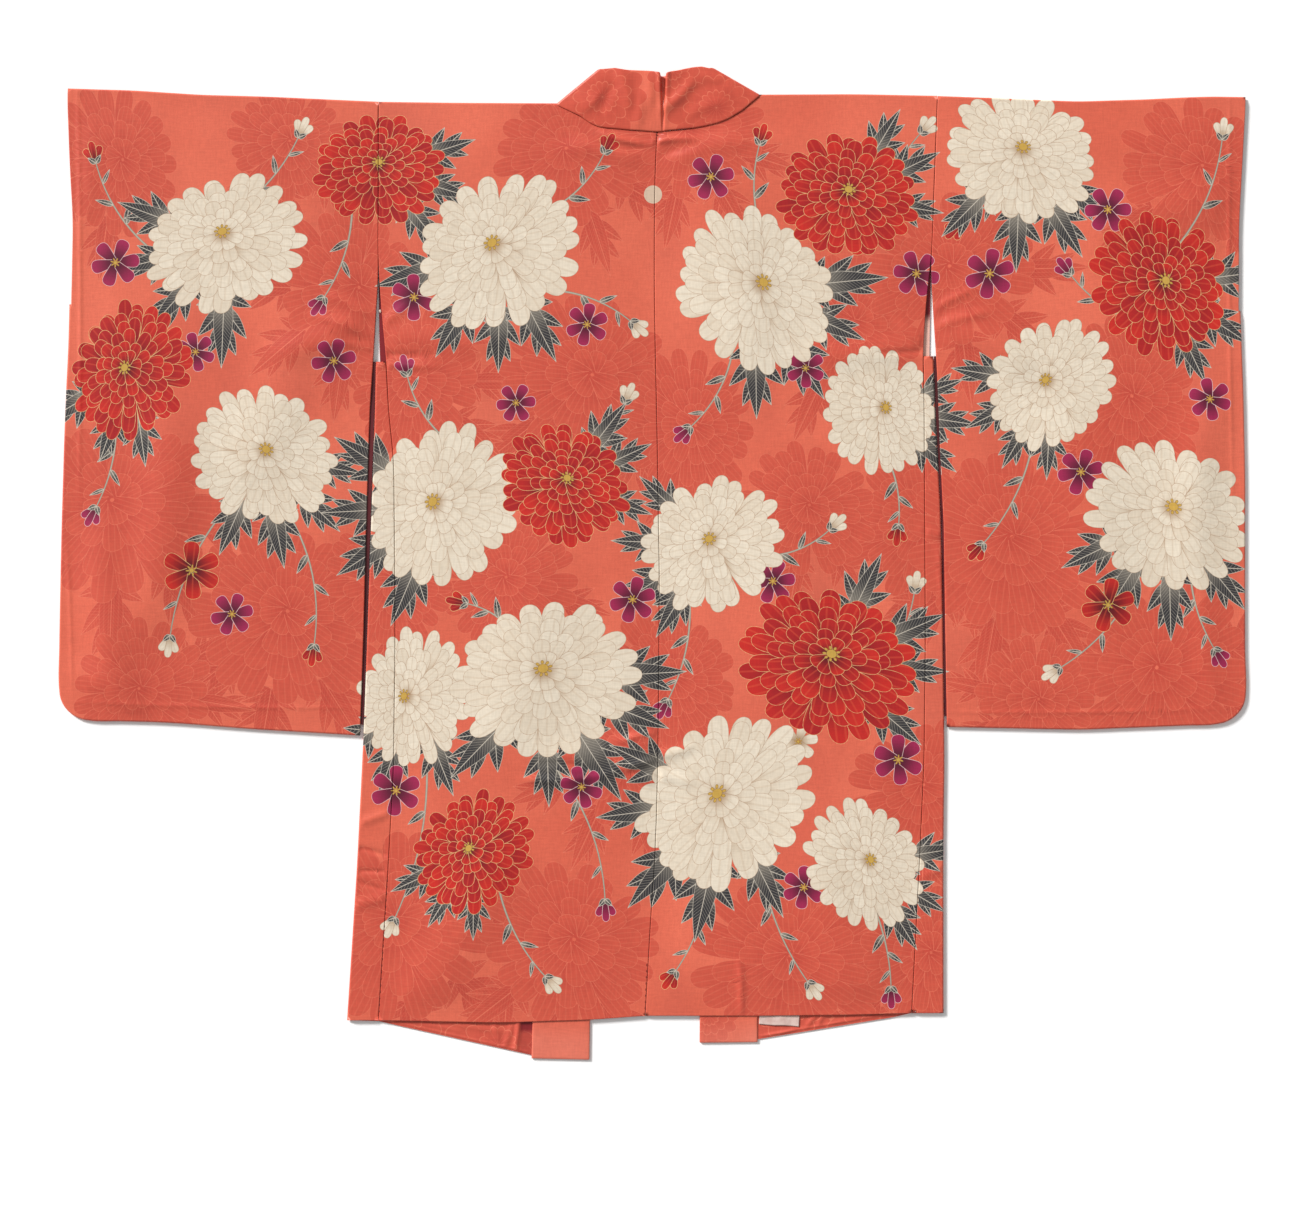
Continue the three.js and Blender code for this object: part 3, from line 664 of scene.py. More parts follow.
# Shallow troughs in the fronts, on the side that lies on the table.
UNDER_CREASES = table(
    Crease,
    (-205, 180, 84, 300, 26, -0.8, 8),
    (-215, -190, 97, 260, 22, -0.7, -8),
    (-190, -20, 12, 110, 14, -0.6, 3),
    (205, 150, 96, 280, 26, -0.8, -8),
    (195, -230, 82, 240, 22, -0.7, 8),
    (210, 10, -10, 120, 14, -0.6, -3),
    # along the front hems and beside the collar, where the turned-in silk shows
    (-210, -521, -12.8, 170, 1.4, -0.55, 0),
    (-149, -518, 84, 52, 3.0, -1.6, 1),
    (-159, -521, 72, 34, 3.6, -0.9, 1),
    (-172, -515, 105, 26, 3.0, -0.7, 0),
    (-192, -511, -9, 62, 3.0, -0.6, 1),
    (-240, -509, -11, 60, 2.6, -0.5, 0),
    (196, -506.6, 9.7, 170, 1.4, -0.55, 0),
    (176, -501, 52, 24, 3.0, -0.9, 0),
    (186, -500, 62, 20, 2.8, -0.8, 0),
    (140, -517, 12, 34, 2.4, -0.8, 1),
    (216, -501, 13, 42, 3.0, -0.6, 0),
    # and broad ones all over
    (-480, 280, 80, 240, 26, -0.8, 10),
    (-560, 20, 96, 220, 22, -0.7, -8),
    (-400, 30, 24, 130, 16, -0.6, 4),
    (480, 260, 100, 240, 26, -0.8, -10),
    (560, 0, 84, 220, 22, -0.7, 8),
    (405, 60, -20, 130, 16, -0.6, -4),
)
SHARP_MM = 8.0  # creases narrower than this get points of their own
CREASE_STEP_MM = 3.5  # how far apart those are along the crease
CREASE_CLEAR_MM = 2.4  # how far inside the edge they start
EDGE_ROWS_MM = (0.12, 0.45, 1.0, 2.1)  # rows of points along the edges, where the cloth turns down


def soft_step(share):
    """Smooth rise from 0 to 1, and its slope."""
    share = np.clip(share, 0, 1)
    return share * share * (3 - 2 * share), 6 * share * (1 - share)


def along_curve(points, step):
    """Points every step along a smooth line through these."""
    points = np.asarray(points, float)
    chord = np.concatenate([[0], np.cumsum(np.linalg.norm(np.diff(points, axis=0), axis=1))])
    tangent = np.gradient(points, chord, axis=0)
    wanted = np.linspace(0, chord[-1], max(2, round(chord[-1] / step) + 1))
    k = np.clip(np.searchsorted(chord, wanted, side="right") - 1, 0, len(chord) - 2)
    width = (chord[k + 1] - chord[k])[:, None]
    u = (wanted - chord[k])[:, None] / width
    return (
        (2 * u**3 - 3 * u**2 + 1) * points[k]
        + (u**3 - 2 * u**2 + u) * width * tangent[k]
        + (3 * u**2 - 2 * u**3) * points[k + 1]
        + (u**3 - u**2) * width * tangent[k + 1]
    )


def away_from(points, line):
    """Each point's distance from a line of points, and the way from the line to it."""
    distance = np.full(len(points), np.inf)
    way = np.zeros((len(points), 2))
    for a, b in zip(line, line[1:]):
        span = b - a
        share = np.clip((points - a) @ span / max(span @ span, 1e-9), 0, 1)
        offset = points - a - share[:, None] * span
        length = np.hypot(*offset.T)
        nearer = length < distance
        distance[nearer] = length[nearer]
        way[nearer] = offset[nearer] / np.maximum(length[nearer], 1e-6)[:, None]
    return distance, way


def inside(points, outline):
    """Which points lie in an outline."""
    crossed = np.zeros(len(points), bool)
    for a, b in zip(outline, np.roll(outline, -1, axis=0)):
        spans = (a[1] > points[:, 1]) != (b[1] > points[:, 1])
        if a[1] != b[1]:
            x = a[0] + (points[:, 1] - a[1]) / (b[1] - a[1]) * (b[0] - a[0])
            crossed ^= spans & (points[:, 0] < x)
    return crossed


WELD_M = 2e-6  # corners of the solids this close together are one
CORNER_TURN, RUN_STEP_MM = radians(32), 5.0
Run = namedtuple("Run", "points closed")


class Wall:
    """The back or the front of a laid-out piece: its outline from above, and its heights."""

    def __init__(self, node, is_back):
        self.is_back = is_back
        solid = bmesh.new()
        solid.from_mesh(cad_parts[node].data)
        bmesh.ops.remove_doubles(solid, verts=solid.verts, dist=WELD_M)
        solid.normal_update()
        side = 1 if is_back else -1
        others = [
            f
            for f in solid.faces
            if side * f.normal.z < 0.2 or side * (f.calc_center_median().z - MIDDLE_MM * MM) < 0
        ]
        bmesh.ops.delete(solid, geom=others, context="FACES")
        loop = next(e for e in solid.edges if e.is_boundary).link_loops[0]
        corners = []
        first = loop
        while not corners or loop != first:
            corners.append(np.array(loop.vert.co) / MM)
            loop = loop.link_loop_next
            while not loop.edge.is_boundary:
                loop = loop.link_loop_radial_next.link_loop_next
        solid.free()
        if not is_back:
            corners.reverse()
        self.runs = self.split(corners)
        self.outline = np.concatenate([run.points[:-1] for run in self.runs])

    def split(self, corners):
        """The outline as runs between its corners, each along a seam, a fold or an open edge."""
        low = [abs(c[2] - MIDDLE_MM) < 0.6 for c in corners]
        flat = [c[:2] for c in corners]
        count = len(flat)
        closed = [low[k] and low[(k + 1) % count] for k in range(count)]
        breaks = []
        for k in range(count):
            before, after = flat[k] - flat[k - 1], flat[(k + 1) % count] - flat[k]
            bend = abs(Vector(before).angle_signed(Vector(after)))
            if bend > CORNER_TURN or closed[k] != closed[k - 1]:
                breaks.append(k)
        runs = []
        for start, end in zip(breaks, breaks[1:] + [breaks[0] + count]):
            points = [flat[k % count] for k in range(start, end + 1)]
            runs.append(Run(along_curve(points, RUN_STEP_MM), closed[start]))
        return runs

    def inset(self, points):
        return [away_from(points, run.points) for run in self.runs]

    def face(self, points, inner=False):
        """Heights and normals at these points, on the outer face or on the lining's."""
        insets = self.inset(points)
        if self.is_back:
            height, slope = relief(points, insets, CREASES, PILLOW_MM)
        else:
            height, slope = relief(points, insets, UNDER_CREASES, 0)
        deepest = np.zeros(len(points))
        turned = np.zeros_like(slope)
        for (distance, way), run in zip(insets, self.runs):
            if inner and not run.closed:
                continue
            reach = MIDDLE_MM if run.closed else TURNED_EDGE_MM
            drop = WALL_MM if not run.closed else MIDDLE_MM - (WALL_MM if inner else 0)
            u = np.clip(1 - distance / reach, 0, 1)
            fall = drop * (1 - np.sqrt(1 - u * u))
            deeper = fall > deepest
            deepest[deeper] = fall[deeper]
            rate = drop / reach * u / np.sqrt(np.maximum(1 - u * u, 0.004))
            turned[deeper] = rate[deeper, None] * way[deeper]
        height, slope = height - deepest, slope + turned
        up = 1 if self.is_back else -1
        facing = -up if inner else up
        flat = (BACK_TOP_MM if self.is_back else 0) - up * (WALL_MM if inner else 0)
        normal = np.column_stack([-slope * up * facing, np.full(len(points), facing)])
        normal /= np.linalg.norm(normal, axis=1)[:, None]
        return flat + up * height, normal


def fade(insets, margin):
    """0 at every edge and 1 from margin inwards, with its slope."""
    value = np.ones(len(insets[0][0]))
    slope = np.zeros((len(value), 2))
    for distance, way in insets:
        step, rate = soft_step(distance / margin)
        slope = slope * step[:, None] + (value * rate / margin)[:, None] * way
        value = value * step
    return value, slope


def relief(points, insets, creases, pillow):
    """How far a wall's cloth stands out from flat, with the slope."""
    value, slope = fade(insets, PILLOW_MARGIN)
    height, slope = pillow * value, pillow * slope
    for crease in creases:
        way = heading(radians(crease.turn))
        side = left_of(way)
        away = points - crease[:2]
        # Past this distance the crease has faded to nothing.
        near = np.hypot(*away.T) < 0.75 * crease.length + 3 * crease.width
        if not near.any():
            continue
        cover, cover_slope = fade([(d[near], w[near]) for d, w in insets], crease.width)
        along = away[near] @ way / (crease.length / 2)
        across = (away[near] @ side - crease.bend * (along**2 - 0.4)) / crease.width
        size = crease.height * np.exp(-(along**4) - across**2)
        by_across = -2 * across / crease.width * size
        by_along = -4 * along**3 * size / (crease.length / 2)
        by_along -= by_across * 2 * crease.bend * along / (crease.length / 2)
        height[near] += size * cover
        slope[near] += (by_along[:, None] * way + by_across[:, None] * side) * cover[:, None]
        slope[near] += size[:, None] * cover_slope
    return height, slope


def crease_points(creases):
    """Closer points over the sharp creases, so that they have their shape."""
    points = []
    for crease in creases:
        if crease.width > SHARP_MM:
            continue
        way = heading(radians(crease.turn))
        for along in np.arange(-0.62, 0.63, CREASE_STEP_MM / crease.length):
            for across in (-2, -1.2, -0.6, 0, 0.6, 1.2, 2):
                offset = across * crease.width + crease.bend * ((2 * along) ** 2 - 0.4)
                points.append(crease[:2] + way * along * crease.length + left_of(way) * offset)
    return np.array(points)


def lattice(outline, step):
    """Evenly spread points over an outline's box, every other row shifted."""
    low, high = outline.min(0), outline.max(0)
    points = []
    for k, y in enumerate(np.arange(low[1], high[1], step * 0.87)):
        x = np.arange(low[0] + (k % 2) * step / 2, high[0], step)
        points.append(np.column_stack([x, np.full(len(x), y)]))
    return np.concatenate(points)


def tessellate(wall, strokes, step):
    """Triangles over a wall that follow the strokes, and the top stroke of each, or -1."""
    outline = wall.outline
    low, high = outline.min(0), outline.max(0)
    shown, shapes = [], []
    for number, item in enumerate(strokes):
        shape = item.outline()
        if (shape.max(0) > low).all() and (shape.min(0) < high).all():
            shown.append(number)
            shapes.append(shape)
    spare = []
    for points, clear in (
        (lattice(outline, step), step * 0.45),
        (crease_points(CREASES if wall.is_back else UNDER_CREASES), CREASE_CLEAR_MM),
    ):
        points = points[inside(points, outline)]
        distance = np.min([d for d, _ in wall.inset(points)], axis=0)
        spare.append(points[distance > clear])
    ahead = np.roll(outline, -1, axis=0) - np.roll(outline, 1, axis=0)
    inward = np.column_stack([-ahead[:, 1], ahead[:, 0]]) / np.linalg.norm(ahead, axis=1)[:, None]
    rows, chains, count = [], [], 0
    for depth in EDGE_ROWS_MM:
        row = outline + inward * depth
        distance = np.min([d for d, _ in wall.inset(row)], axis=0)
        kept = inside(row, outline) & (distance > depth * 0.93)
        name = np.cumsum(kept) - 1 + count
        chains += [(name[k - 1], name[k]) for k in range(len(row)) if kept[k] and kept[k - 1]]
        rows.append(row[kept])
        count += kept.sum()
    spare = np.concatenate(rows + spare)
    points = [outline, *shapes, spare]
    starts = np.cumsum([0] + [len(p) for p in points])
    faces = [list(range(starts[k], starts[k + 1])) for k in range(len(shapes) + 1)]
    edges = [(a + starts[-2], b + starts[-2]) for a, b in chains]
    verts, _, triangles, _, _, origins = delaunay_2d_cdt(
        [Vector(p) for p in np.concatenate(points)], edges, faces, 0, 1e-4, True
    )
    kept = [(tri, max(origin)) for tri, origin in zip(triangles, origins) if 0 in origin]
    points = np.array([v[:] for v in verts])
    faces = np.array([tri for tri, _ in kept])
    top = np.array([shown[number - 1] if number else -1 for _, number in kept])
    used, faces = np.unique(faces, return_inverse=True)
    return points[used], faces.reshape(-1, 3), top


def put_in_scene(name, data):
    thing = bpy.data.objects.new(name, data)
    bpy.context.scene.collection.objects.link(thing)
    return thing


def add_piece(mesh, material):
    """Puts a finished mesh in the scene as a piece of the garment."""
    mesh.materials.append(material)
    piece = put_in_scene(mesh.name, mesh)
    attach(piece, "root")
    return piece


MAP_GAP_MM = 20  # between a piece's back and its front in its map


def lay_cloth(name, walls, strokes_of, material, inner=False, step=7.5):
    """Makes the silk of a piece, or with inner its lining, over all its walls."""
    places, normals, triangles, petals, brushes, maps = [], [], [], [], [], []
    first = 0
    for number, (wall, strokes) in enumerate(zip(walls, strokes_of)):
        points, faces, top = tessellate(wall, strokes, step)
        height, normal = wall.face(points, inner)
        if wall.is_back == inner:
            faces = faces[:, ::-1]
        places.append(np.column_stack([points, height]))
        normals.append(normal)
        triangles.append(faces + first)
        first += len(points)
        # Each triangle's dye, its place in its stroke's own frame, and the stroke's size and tone.
        dyes, bases, frames, sizes = [0], [(0, 0)], [np.eye(2)], [(1, 1, 0.5)]
        for item in strokes:
            dyes.append(DYES.index(item.dye))
            bases.append(item.base)
            frames.append(np.linalg.inv(np.column_stack([item.reach, item.half])))
            sizes.append((np.linalg.norm(item.reach), np.linalg.norm(item.half), item.tone))
        dye, base, own_frame, size = (np.array(v)[top + 1] for v in (dyes, bases, frames, sizes))
        local = np.einsum("fij,fcj->fci", own_frame, points[faces] - base[:, None])
        petals.append(np.dstack([local, np.repeat(dye[:, None], 3, axis=1)]).reshape(-1, 3))
        brushes.append(np.repeat(size, 3, axis=0))
        # The map holds the back in its left half and the front in its right.
        low, high = wall.outline.min(0), wall.outline.max(0)
        scale = 1 / max(high[1] - low[1], 2 * (high[0] - low[0]) + MAP_GAP_MM)
        corner = (points[faces].reshape(-1, 2) - low) * scale * 0.96 + 0.01
        maps.append(corner + (number * 0.5, 0))
    places, triangles = np.concatenate(places), np.concatenate(triangles)
    mesh = bpy.data.meshes.new(name)
    mesh.from_pydata((places * MM).tolist(), [], triangles.tolist(), shade_flat=False)
    if not inner:
        for label, values in (("petal", petals), ("brush", brushes)):
            layer = mesh.attributes.new(label, "FLOAT_VECTOR", "CORNER")
            layer.data.foreach_set("vector", np.concatenate(values).ravel())
    layer = mesh.uv_layers.new(name="OFBake")
    layer.uv.foreach_set("vector", np.concatenate(maps).ravel())
    mesh.normals_split_custom_set_from_vertices(np.concatenate(normals).tolist())
    return add_piece(mesh, material)


BLOSSOM_RINGS = ((1.0, 0.0), (0.66, 0.5), (0.36, 0.2))  # share of the radius, and turn


def stencilled(place, colour, blossoms):
    """Lays blossoms a shade darker over a colour, from where they lie in metres, by the angle and
    the distance from each one's middle."""
    for x, y, radius, petals in blossoms:
        away = place.node("VectorMath", {"operation": "SUBTRACT"}, {0: place, 1: (x, y, 0)})
        far_x, far_y = away.axis("X"), away.axis("Y")
        far = (far_x * far_x + far_y * far_y).maths("SQRT")
        turn = far_y.maths("ARCTAN2", far_x)
        for share, shift in BLOSSOM_RINGS:
            lobe = abs((turn * (petals / 2) + shift * pi).maths("COSINE"))
            reach = (lobe * 0.16 + 0.84) * (radius * share)
            within = (reach - far).ramp(-0.0003, 0.0003)
            rim = abs(reach - far - 0.0006).ramp(0.0007, 0.0002)
            between = (lobe * far).ramp(0.0009, 0.0003) * (reach - far).ramp(0.0, 0.0006)
            drawn = rim.maths("MAXIMUM", between)
            shaded = (far / reach).ramp(0.0, 1.0).mix(CORAL_SHADE, CORAL_SHADE_PALE)
            colour = within.mix(colour, (drawn * 0.8).mix(shaded, CORAL_LINE))
    return colour


# Red inside, and the outer silk turned in for a hand's breadth at the hems, blossoms and all. The
# lining is pale at the foot of the right slit, and its red shows between the left facing and the
# band, most strongly just under the back hem, where it is partly painted shade.
FACING_Y = -0.236
FACING_BLOSSOMS = [
    (-0.27, -0.49, 0.07, 15),
    (-0.17, -0.53, 0.06, 13),
    (0.15, -0.49, 0.055, 13),
    (0.25, -0.5, 0.06, 15),
]
red_lining, lining_shader, place, cloud, fine = crepe("red_lining", 0.55, sheen=0.05)
x, y = place.axis("X"), place.axis("Y")
red = cloud.ramp(0.3, 0.7).mix(dyed(112, 8, 20), dyed(140, 14, 24))
pale = x.ramp(0.2885, 0.2895) * x.ramp(0.31, 0.309) * y.ramp(0.215, 0.218) * y.ramp(0.275, 0.262)
red = pale.mix(red, dyed(226, 176, 160))
# Red lining beside the left band, strongest just under the back hem and weaker lower down: partly
# painted shade of the hem's shadow.
lining_and_shade_beside_band = x.ramp(-0.148, -0.1435) * x.ramp(-0.10, -0.102) * y.ramp(-0.3, -0.302)
lining_and_shade_beside_band *= y.ramp(-0.519, -0.511) * 0.6 + 0.36
facing = stencilled(place, woven_coral(place, cloud, fine), FACING_BLOSSOMS)
inner_colour = (y.ramp(FACING_Y + 0.001, FACING_Y - 0.001) - lining_and_shade_beside_band).mix(red, facing)
colour_with(threaded(place, inner_colour), lining_shader)


def cut_from(walls):
    """The size and area of the length of cloth that makes these walls, in metres."""
    spans = [wall.outline.max(0) - wall.outline.min(0) for wall in walls]
    area = 0
    for wall in walls:
        x, y = wall.outline.T
        area += abs(x @ np.roll(y, -1) - y @ np.roll(x, -1)) / 2
    return spans, area * MM * MM


walls = {}


def lay_piece(node, over_fold=True):
    """Silk and lining of a piece cut in one, over its fold or with back and front abreast."""
    walls[node] = [Wall(node, True), Wall(node, False)]
    cloth = lay_cloth(f"{node}_silk", walls[node], [back_strokes, front_strokes], silk)
    lining = lay_cloth(f"{node}_lining", walls[node], [[], []], red_lining, inner=True, step=18)
    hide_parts(node)
    (back, front), area = cut_from(walls[node])
    if over_fold:
        cut = (back[0] * MM, (back[1] + front[1]) * MM)
    else:
        cut = ((back[0] + front[0]) * MM, back[1] * MM)


for side in ("left", "right"):
    lay_piece(f"body_{side}")

# ==== Gussets ====
# A long wedge of the same silk let in between the back and the front of each side, from under the
# sleeve to the hem. It is sewn to both, and pressed into a crease down its middle.

for side in ("left", "right"):
    lay_piece(f"gusset_{side}", over_fold=False)

# ==== Sleeves ====
# Long hanging sleeves, each one length of the painted silk creased along the top. They are sewn
# to the body at the shoulder alone, closed along the bottom and below the cuff, and open to the
# body lower down.

for side in ("left", "right"):
    lay_piece(f"sleeve_{side}")

# ==== Sleeve lining at the opening ====
# The sleeve's red lining, turned a little past its open inner edge, so that a thin red line shows
# between sleeve and body. Its red is painted darker than the lining's, as painted shade in that
# gap.

LINING_WAVE_MM, LINING_WAVE_TURN = 0.35, 90  # its slow waves turn so many radians in a metre
LONG_EDGE = 0.012  # in metres: longer edges are divided, so that the waves show
# Darker than the red lining: painted shade, so that the gap between sleeve and body reads dark.
shade_darkened_red, shade_darkened_shader, place, cloud, fine = crepe("turned_lining_painted_shade", 0.6, sheen=0.04)
colour_with(cloud.ramp(0.3, 0.7).mix(dyed(66, 6, 12), dyed(92, 8, 18)), shade_darkened_shader)

for side in ("left", "right"):
    node = f"lining_{side}"
    edge = bmesh.new()
    edge.from_mesh(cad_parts[node].data)
    bmesh.ops.remove_doubles(edge, verts=edge.verts, dist=WELD_M)
    bmesh.ops.dissolve_limit(edge, angle_limit=radians(1), verts=edge.verts, edges=edge.edges)
    long_edges = [e for e in edge.edges if e.calc_length() > LONG_EDGE]
    bmesh.ops.subdivide_edges(edge, edges=long_edges, cuts=3, use_grid_fill=True)
    for vert in edge.verts:
        vert.co.z += sin(vert.co.y * LINING_WAVE_TURN) * LINING_WAVE_MM * MM
    bmesh.ops.triangulate(edge, faces=edge.faces)
    mesh = bpy.data.meshes.new(f"sleeve_{side}_lining_edge")
    edge.to_mesh(mesh)
    low, high = (np.array(corner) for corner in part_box(node))
    area = sum(face.calc_area() for face in edge.faces) / 2
    edge.free()
    strip = add_piece(mesh, shade_darkened_red)
    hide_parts(node)
    width, length = high[0] - low[0], high[1] - low[1]
    area, under = min(area, width * length), f"sleeve_{side}_lining"

# ==== Collar ====
# One long band of the same silk, doubled, sewn round the neck and down both fronts to their hems.
# It lies turned out over the back of the neck, with one small pleat, and underneath down the
# fronts.

Across = namedtuple("Across", "sewn_x sewn_y sewn_z free_x free_y free_z")
NECK = table(
    Across,
    (-80.7, 492.3, 4.3, -42.1, 543.0, 4.7),
    (-63.0, 481.4, 4.3, -29.1, 540.8, 5.2),
    (-35.7, 477.4, 4.3, -15.1, 540.0, 5.0),
    (-9.1, 475.4, 4.3, -3.1, 539.3, 5.6),
    (3.6, 474.5, 4.4, 2.4, 538.6, 6.4),
    (9.6, 474.7, 4.4, 8.2, 537.2, 7.0),  # left lip of the pleat
    (10.2, 474.9, 4.2, 8.7, 535.6, 3.8),
    (11.0, 475.0, 3.9, 9.8, 534.2, 1.4),
    (12.2, 475.2, 4.0, 13.4, 534.2, 1.4),
    (13.2, 475.4, 4.5, 15.4, 537.0, 7.2),  # right lip
    (19.5, 476.1, 4.4, 20.6, 538.8, 6.4),
    (28.9, 477.0, 4.4, 25.9, 539.6, 5.9),
    (50.6, 479.4, 4.3, 35.9, 541.8, 5.1),
    (79.9, 487.3, 4.3, 46.9, 543.8, 5.0),
    (97.3, 497.1, 4.3, 54.9, 544.6, 4.6),
)
# Where the band turns over at each side of the neck, and its end at the hem of that front.
LEFT_TURN, LEFT_END, RIGHT_TURN, RIGHT_END = table(
    Across,
    (-103.4, 503.1, 1.25, -55.6, 542.6, 1.25),
    (-132.5, -544.6, 1.25, -70.6, -546.0, 1.25),
    (116.1, 512.7, 1.25, 62.4, 543.6, 1.25),
    (114.9, -526.7, 1.25, 52.9, -527.4, 1.25),
)
TURN_RADIUS, BAND_HALF = 1.55, 1.25
FRONT_LENGTH = 1047.0  # of the band, from its end up to the side of the neck
NEAR_END = [0, 0.15, 0.5, 1.1, 2.5, 6]  # the first rows from the band's end, closer together
COLLAR_CREASES = table(
    Crease,
    (-31, 522, 112, 46, 7, 2.6, 2),
    (-50, 511, 66, 38, 6, -1.0, -2),
    (-72, 502, 40, 40, 6, 1.6, 2),
    (-14, 498, 84, 44, 6, 1.4, 2),
    (-4, 520, 98, 40, 6, 1.8, 2),
    (28, 512, 42, 48, 6, 2.6, 3),
    (52, 520, 14, 40, 5, -1.0, -2),
    (62, 534, -27, 30, 5, 1.6, 2),
    (58, 500, 22, 46, 6, 1.4, -3),
    (90, 512, -30, 56, 6, 1.5, -2),
)
CORNER_RADIUS = 6.0  # of the free edge, where the band turns over
SEAM_CLOSED_MM = 0.6  # how far the seam is drawn tight over the edge of the body


def front_rows(end, turn):
    """From the band's end up to the side of the neck."""
    from_end = np.array([*NEAR_END, *np.linspace(14, FRONT_LENGTH, 120)]) / FRONT_LENGTH
    rows = np.array(end) + from_end[:, None] * (np.array(turn) - end)
    return np.column_stack([rows, np.tile([0, 0, -1.0], (len(rows), 1))])


def crease_ways(turn, away_sign):
    """The way along the crease where the band turns over, and the way out past it."""
    crease = np.array([turn.free_x - turn.sewn_x, turn.free_y - turn.sewn_y])
    crease /= np.linalg.norm(crease)
    return crease, left_of(crease) * -away_sign


def turned_rows(turn, away_sign):
    """Round the crease where the band turns over from the front to the back of the neck."""
    away = np.array([*crease_ways(turn, away_sign)[1], 0])
    rows = []
    for angle in np.linspace(-pi / 2, pi / 2, 9)[1:]:
        outward = away * cos(angle) + np.array([0, 0, sin(angle)])
        lift = outward * TURN_RADIUS + np.array([0, 0, TURN_RADIUS])
        rows.append(np.concatenate([turn[:3] + lift, turn[3:] + lift, outward]))
    return rows


def round_corner(rows, turn, away_sign):
    """Draws the free edge in where it meets the crease at the side of the neck."""
    crease, away = crease_ways(turn, away_sign)
    tip = np.array([turn.free_x, turn.free_y]) @ away + TURN_RADIUS + BAND_HALF
    behind = tip - (rows[:, 3:5] + rows[:, 6:8] * BAND_HALF) @ away
    u = np.clip(1 - behind / CORNER_RADIUS, 0, 1)
    rows[:, 3:5] -= crease * (CORNER_RADIUS * (1 - np.sqrt(1 - u * u)))[:, None]


def smooth_mesh(name, shape):
    for face in shape.faces:
        face.smooth = True
    mesh = bpy.data.meshes.new(name)
    shape.to_mesh(mesh)
    shape.free()
    return mesh


neck_rows = along_curve(NECK, 1.0)
neck_rows = np.column_stack([neck_rows, np.tile([0, 0, 1.0], (len(neck_rows), 1))])
rows = np.concatenate(
    [
        front_rows(LEFT_END, LEFT_TURN),
        turned_rows(LEFT_TURN, -1),
        neck_rows,
        turned_rows(RIGHT_TURN, 1)[::-1],
        front_rows(RIGHT_END, RIGHT_TURN)[::-1],
    ]
)
seam_way = rows[:, :2] - rows[:, 3:5]
rows[:, :2] += seam_way / np.linalg.norm(seam_way, axis=1)[:, None] * SEAM_CLOSED_MM
round_corner(rows, LEFT_TURN, -1)
round_corner(rows, RIGHT_TURN, 1)
# From the sewn edge over the upper layer, round the free edge, and back: share of the width, and
# how much of the band's half thickness lies across and through it there.
shares = [0, 0.004, 0.012, 0.025, *np.linspace(0.06, 1, 18)]
through = [0.05, 0.6, 0.9, 1.0, *np.ones(18)]
profile = [(share, 0, up) for share, up in zip(shares, through)]
profile += [(1, cos(angle), sin(angle)) for angle in np.linspace(pi / 2, -pi / 2, 9)[1:-1]]
profile += [(share, 0, -up) for share, up in zip(shares[::-1], through[::-1])]

band = bmesh.new()
bmesh.ops.create_grid(band, x_segments=len(rows) - 1, y_segments=len(profile) - 1, size=1)
flat_pose = np.array([v.co[:2] for v in band.verts])
row_of = np.rint((flat_pose[:, 0] + 1) / 2 * (len(rows) - 1)).astype(int)
place_of = np.rint((flat_pose[:, 1] + 1) / 2 * (len(profile) - 1)).astype(int)
row, (share, beyond, up) = rows[row_of], np.array(profile)[place_of].T
sewn, free, outward = row[:, :3], row[:, 3:6], row[:, 6:]
across = (free - sewn) / np.linalg.norm(free - sewn, axis=1)[:, None]
to_end = np.minimum(row_of, len(rows) - 1 - row_of)
end_mm = np.interp(to_end, range(len(NEAR_END)), NEAR_END)
half = BAND_HALF * np.sqrt(1 - np.clip(1 - end_mm / 1.2, 0, 0.98) ** 2)
middle = sewn + share[:, None] * (free - sewn)
far = np.full(len(middle), 1e6)
lift, _ = relief(middle[:, :2], [(far, np.zeros((len(far), 2)))], COLLAR_CREASES, 0)
lift *= np.clip((outward[:, 2] - 0.8) * 5, 0, 1) * np.sin(pi * np.clip(share, 0.04, 0.97)) ** 0.5
places = middle + across * (beyond * half)[:, None] + outward * (up * half + lift)[:, None]
for vert, co in zip(band.verts, places * MM):
    vert.co = co
band.normal_update()
highest = max(band.faces, key=lambda face: face.calc_center_median().z)
if highest.normal.z < 0:
    bmesh.ops.reverse_faces(band, faces=band.faces)
COLLAR_BLOSSOMS = [
    (-0.055, 0.512, 0.05, 13),
    (0.07, 0.50, 0.056, 15),
    (0.022, 0.54, 0.03, 11),
    (-0.105, -0.43, 0.045, 13),
    (0.062, -0.497, 0.034, 13),
]
collar_silk, collar_shader, place, cloud, fine = crepe("collar_silk", 0.38, sheen=0.06)
collar_colour = stencilled(place, woven_coral(place, cloud, fine), COLLAR_BLOSSOMS)
# The band is painted paler towards its ends at the hems, in clouds: painted light.
painted_light = place.axis("Y").ramp(-0.49, -0.53) * (cloud.ramp(0.35, 0.7) * 0.5 + 0.3)
collar_colour = painted_light.mix(collar_colour, dyed(224, 132, 112))
colour_with(threaded(place, collar_colour), collar_shader)
collar = add_piece(smooth_mesh("collar_band", band), collar_silk)
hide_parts("collar")
under = ["table_top", "body_left_silk", "body_right_silk"]

# ==== Stitching ====
# Running stitches of dark red thread that show along the lower left gusset seam and the foot of
# the back seam, and a tack of pale thread across the top of the left sleeve's opening.

